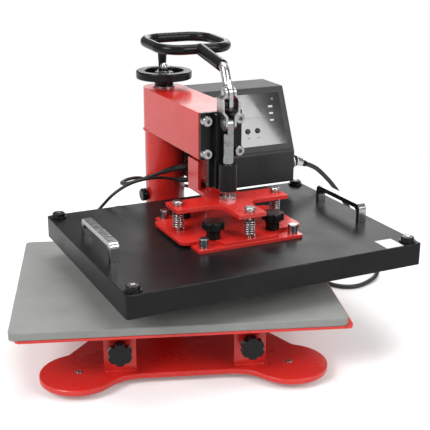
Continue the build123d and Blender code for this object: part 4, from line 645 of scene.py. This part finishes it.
FLOOR = 3.3                            # middle of the power cord where it lies on the floor, mm
POWER_ROUTE = [
    (187.794, -76, 169.160), (201.889, -76, 164.029), (217, -77, 151), (233, -79, 134), (249, -82, 112),
    (264, -87, 88), (277, -95, 62), (287, -108, 37), (289, -127, 16), (276, -145, 6), (252, -156, FLOOR),
    (224, -163, FLOOR), (201, -148, FLOOR), (193, -119, FLOOR), (197, -86, FLOOR), (205, -46, FLOOR),
    (211, 0, FLOOR), (206, 44, FLOOR), (197, 91.4, FLOOR),
]
HEATER_ROUTE = [
    (10.75, -45, 177), (-9, -45, 177), (-32, -46, 171.5), (-52, -42, 166), (-67, -28, 157.5),
    (-71, -7, 152.5), (-57, 9, 152.5), (-35, 19, 151), (-14, 33, 141), (11, 41, 132), (35, 36, 127),
    (52, 20, 125.2), (61, -1, 124.7), (66, -23, 124.7), (66, -44.7, 124.7),
]
SENSOR_ROUTE = [
    (18.75, -45, 158), (6, -45, 158), (-10, -48, 163.5), (-30, -51, 168.5), (-53, -51.5, 169),
    (-76, -50, 164), (-96, -45, 151), (-109, -35, 132), (-115, -17, 115), (-111, 1, 107),
    (-102, 14, 107), (-88, 17, 109), (-77, 8, 113), (-73, -9, 119.5), (-77, -27, 124.7),
    (-77, -44.7, 124.7),
]
COIL_TURNS = 1.75
COIL_RADIUS = 38.5
COIL_STEPS = 16
COIL_PLACE = (150, 128)
COIL_SPREAD = 1.0196                   # the smooth line cuts inside its points by this much


def coil_route():
    """Two flat layers of turns: inwards on the floor, up half a turn, then out again."""
    pitch, lift = 8.3, 7.4
    outer = COIL_RADIUS + pitch * COIL_TURNS / 2
    points = []
    for step in range(int((2 * COIL_TURNS + 0.5) * COIL_STEPS) + 1):
        turn = step / COIL_STEPS
        climbed = min(max((turn - COIL_TURNS) * 2, 0), 1)
        radius = outer - pitch * (min(turn, COIL_TURNS) - max(0, turn - COIL_TURNS - 0.5))
        radius *= COIL_SPREAD
        angle = 2 * math.pi * turn
        points.append((COIL_PLACE[0] + radius * math.cos(angle), COIL_PLACE[1] + radius * math.sin(angle),
                       FLOOR + lift * climbed))
    return points


turns = coil_route()
x, y, z = turns[-1]
plug_bend = [(x, y + 8, z), (x + 8, y + 22, z), (x + 22, y + 30, z), (x + 36.6, y + 30, z)]
power_line = [tuple(HEAD @ Vector(p)) for p in POWER_ROUTE + turns + plug_bend]
lead = cable_curve("power_lead", power_line, 0.0033)
lead.data.materials.append(jacket)
lead.data.resolution_u = 6
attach(lead, "head")
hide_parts("power_cord", "power_cord_coil")
path_length(spline_points("power", power_line))

# name, route, cable's radius, CAD piece, and the sleeve's first radius and its length, m
LEADS = (("heater_lead", HEATER_ROUTE, 0.0025, "heater_cable", 0.0043, 0.036),
         ("sensor_lead", SENSOR_ROUTE, 0.0021, "sensor_cable", 0.0035, 0.024))
for name, route, radius, node, mouth, reach in LEADS:
    points = [tuple(HEAD @ Vector(p)) for p in route]
    line = spline_points(name, points)
    tube = piece(name, cable_mesh(name, points, radius), jacket, None)
    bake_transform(tube)
    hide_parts(node)
    relief = name.replace("lead", "relief")
    mesh = sleeve_mesh(relief, line, mouth, radius + SLEEVE_WALL, reach, SLEEVE_RIBS)
    sleeve = piece(relief, mesh, jacket, None)
    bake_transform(sleeve)


pad = piece("pad_skin", pad_mesh(), pad_grey, "stand")
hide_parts("lower_pad")

DROOP = (math.cos(math.radians(20)), 0, -math.sin(math.radians(20)))
rings = (("power_coupling", (BOX_RIGHT, -76, 176), (1, 0, 0), 8.55, 10.4, 8.5),
         ("heater_coupling", (BOX_LEFT, -45, 177), (-1, 0, 0), 8.55, 10.2, 14.5),
         ("sensor_coupling", (BOX_LEFT, -45, 158), (-1, 0, 0), 4.55, 6.4, 8.0))
for name, place, way, inner, outer, length in rings:
    piece(name, coupling_ring(name, place, way, inner, outer, length), chrome, "head")
cone = plug_cone("power_collar", (BOX_RIGHT + 12, -76, 176), DROOP)
piece("power_collar", cone, chrome, "head")

round_welds = (("flange_weld", 24.2, 20.2, 1.7, BASE, "stand"),
               ("sleeve_weld", 28.3, 223.4, 1.6, HEAD, "head"))
for name, radius, height, bead, matrix, body in round_welds:
    mesh = bead_mesh(name, circle_path(radius, height), bead, matrix, True)
    piece(name, mesh, red, body)
for name, middle in (("post_weld_left", -POST_X), ("post_weld_right", POST_X)):
    path = straight_path(middle - POST_HALF_WIDTH, middle + POST_HALF_WIDTH, POST_WELD_Y, POST_WELD_Z)
    piece(name, bead_mesh(name, path, POST_BEAD, BASE), red, "stand")

sticker = [(140.5, -341.9, COVER_TOP), (164.4, -341.9, COVER_TOP), (164.8, -314.8, COVER_TOP),
           (141.0, -314.6, COVER_TOP)]
film_mesh = flat_film("blank_sticker", sticker, 0.18, HEAD)
piece("blank_sticker", film_mesh, white_film, "platen")


def on_panel(x, up, lift):
    """Place on the sloped panel: x along the box and up the slope from the chin."""
    sine, cosine = math.sin(PANEL_LEAN), math.cos(PANEL_LEAN)
    return (x, PANEL_CHIN_Y + up * sine - lift * cosine, PANEL_CHIN_Z + up * cosine + lift * sine)


def panel_marks(name, shapes, finish):
    """Printed marks as one thin mesh; each shape is a list of places on the panel."""
    points, faces = [], []
    for shape in shapes:
        first = len(points)
        points += [on_panel(x, up, MARK_LIFT) for x, up in shape]
        faces.append(tuple(range(first, first + len(shape))))
    piece(name, drawn(name, points, faces, HEAD), finish, "head", smooth=False)


def bar(x, up, width, height):
    """Upright rectangle about a place on the panel."""
    return [(x - width / 2, up - height / 2), (x + width / 2, up - height / 2),
            (x + width / 2, up + height / 2), (x - width / 2, up + height / 2)]


bars = [bar(131.1, 66.3, 6.6, 2.6), bar(130.6, 56.8, 6.2, 2.6), bar(130.0, 47.0, 5.6, 2.2)]
panel_marks("panel_marks", bars, mark_white)
triangle = [(133.6, 75.6), (138.0, 75.6), (135.8, 79.2)]
under_buttons = [bar(BUTTON_FIRST_X + BUTTON_PITCH * i, 24.5, 4.2, 1.2) for i in range(3)]
panel_marks("panel_hints", [triangle, bar(136.8, 22.3, 3.6, 1.2)] + under_buttons, mark_grey)


# Stage

def add_stage():
    """Pale floor that turns plain white further out, for the camera and in reflections."""
    mesh = bpy.data.meshes.new("floor")
    mesh.from_pydata([(-30, -30, 0), (30, -30, 0), (30, 30, 0), (-30, 30, 0)], [], [(0, 1, 2, 3)])
    floor = bpy.data.objects.new("floor", mesh)
    bpy.context.scene.collection.objects.link(floor)
    net = Net("floor")
    path = net.add("LightPath")
    seen = net.math("MAXIMUM", path.outputs["Is Camera Ray"], path.outputs["Is Glossy Ray"])
    diffuse = net.add("BsdfDiffuse", {"Color": (FLOOR_GREY, FLOOR_GREY, FLOOR_GREY, 1)})
    glow = net.add("Emission", {"Color": (1, 1, 1, 1), "Strength": net.math("MULTIPLY", seen, FLOOR_GLOW)})
    near = net.add("AddShader", {0: diffuse.outputs[0], 1: glow.outputs[0]})
    away = net.add("VectorMath", {0: net.place}, operation="LENGTH").outputs["Value"]
    share = net.math("MULTIPLY", seen, net.span(away, WHITE_START, WHITE_END))
    far = net.add("Emission", {"Color": (1, 1, 1, 1), "Strength": 1.0})
    both = net.add("MixShader", {0: share, 1: near.outputs[0], 2: far.outputs[0]})
    out = net.add("OutputMaterial")
    net.tree.links.new(both.outputs[0], out.inputs["Surface"])
    mesh.materials.append(net.material)


def add_world():
    """White background for the camera and through clear pieces, and dim grey light for the rest."""
    world = bpy.data.worlds.new("world")
    bpy.context.scene.world = world
    world.use_nodes = True
    tree = world.node_tree
    tree.nodes.clear()
    path = tree.nodes.new("ShaderNodeLightPath")
    seen = tree.nodes.new("ShaderNodeMath")
    seen.operation = "MAXIMUM"
    tree.links.new(path.outputs["Is Camera Ray"], seen.inputs[0])
    tree.links.new(path.outputs["Is Transmission Ray"], seen.inputs[1])
    strength = tree.nodes.new("ShaderNodeMapRange")
    tree.links.new(seen.outputs[0], strength.inputs["Value"])
    strength.inputs["To Min"].default_value = WORLD_GREY
    strength.inputs["To Max"].default_value = 1.0
    back = tree.nodes.new("ShaderNodeBackground")
    back.inputs["Color"].default_value = (1, 1, 1, 1)
    tree.links.new(strength.outputs["Result"], back.inputs["Strength"])
    out = tree.nodes.new("ShaderNodeOutputWorld")
    tree.links.new(back.outputs[0], out.inputs["Surface"])


add_camera()
add_world()
add_stage()
softbox("key", (-1.5, -1.1, 1.5), (0, 0, 0.15), 1.0, 1.0, 36)
softbox("fill", (1.0786, -1.1409, 1.0530), (-0.1184, -0.2173, 0.1718), 0.8, 0.8, 14,
        (-0.515, -0.838, -0.179))
softbox("top", (0.1, 0.2, 1.9), (0, 0, 0.15), 1.4, 1.0, 24)
softbox("rim", (0.6, 1.7, 1.0), (0, 0, 0.2), 1.4, 0.7, 10)
bpy.context.scene.view_settings.view_transform = "Standard"
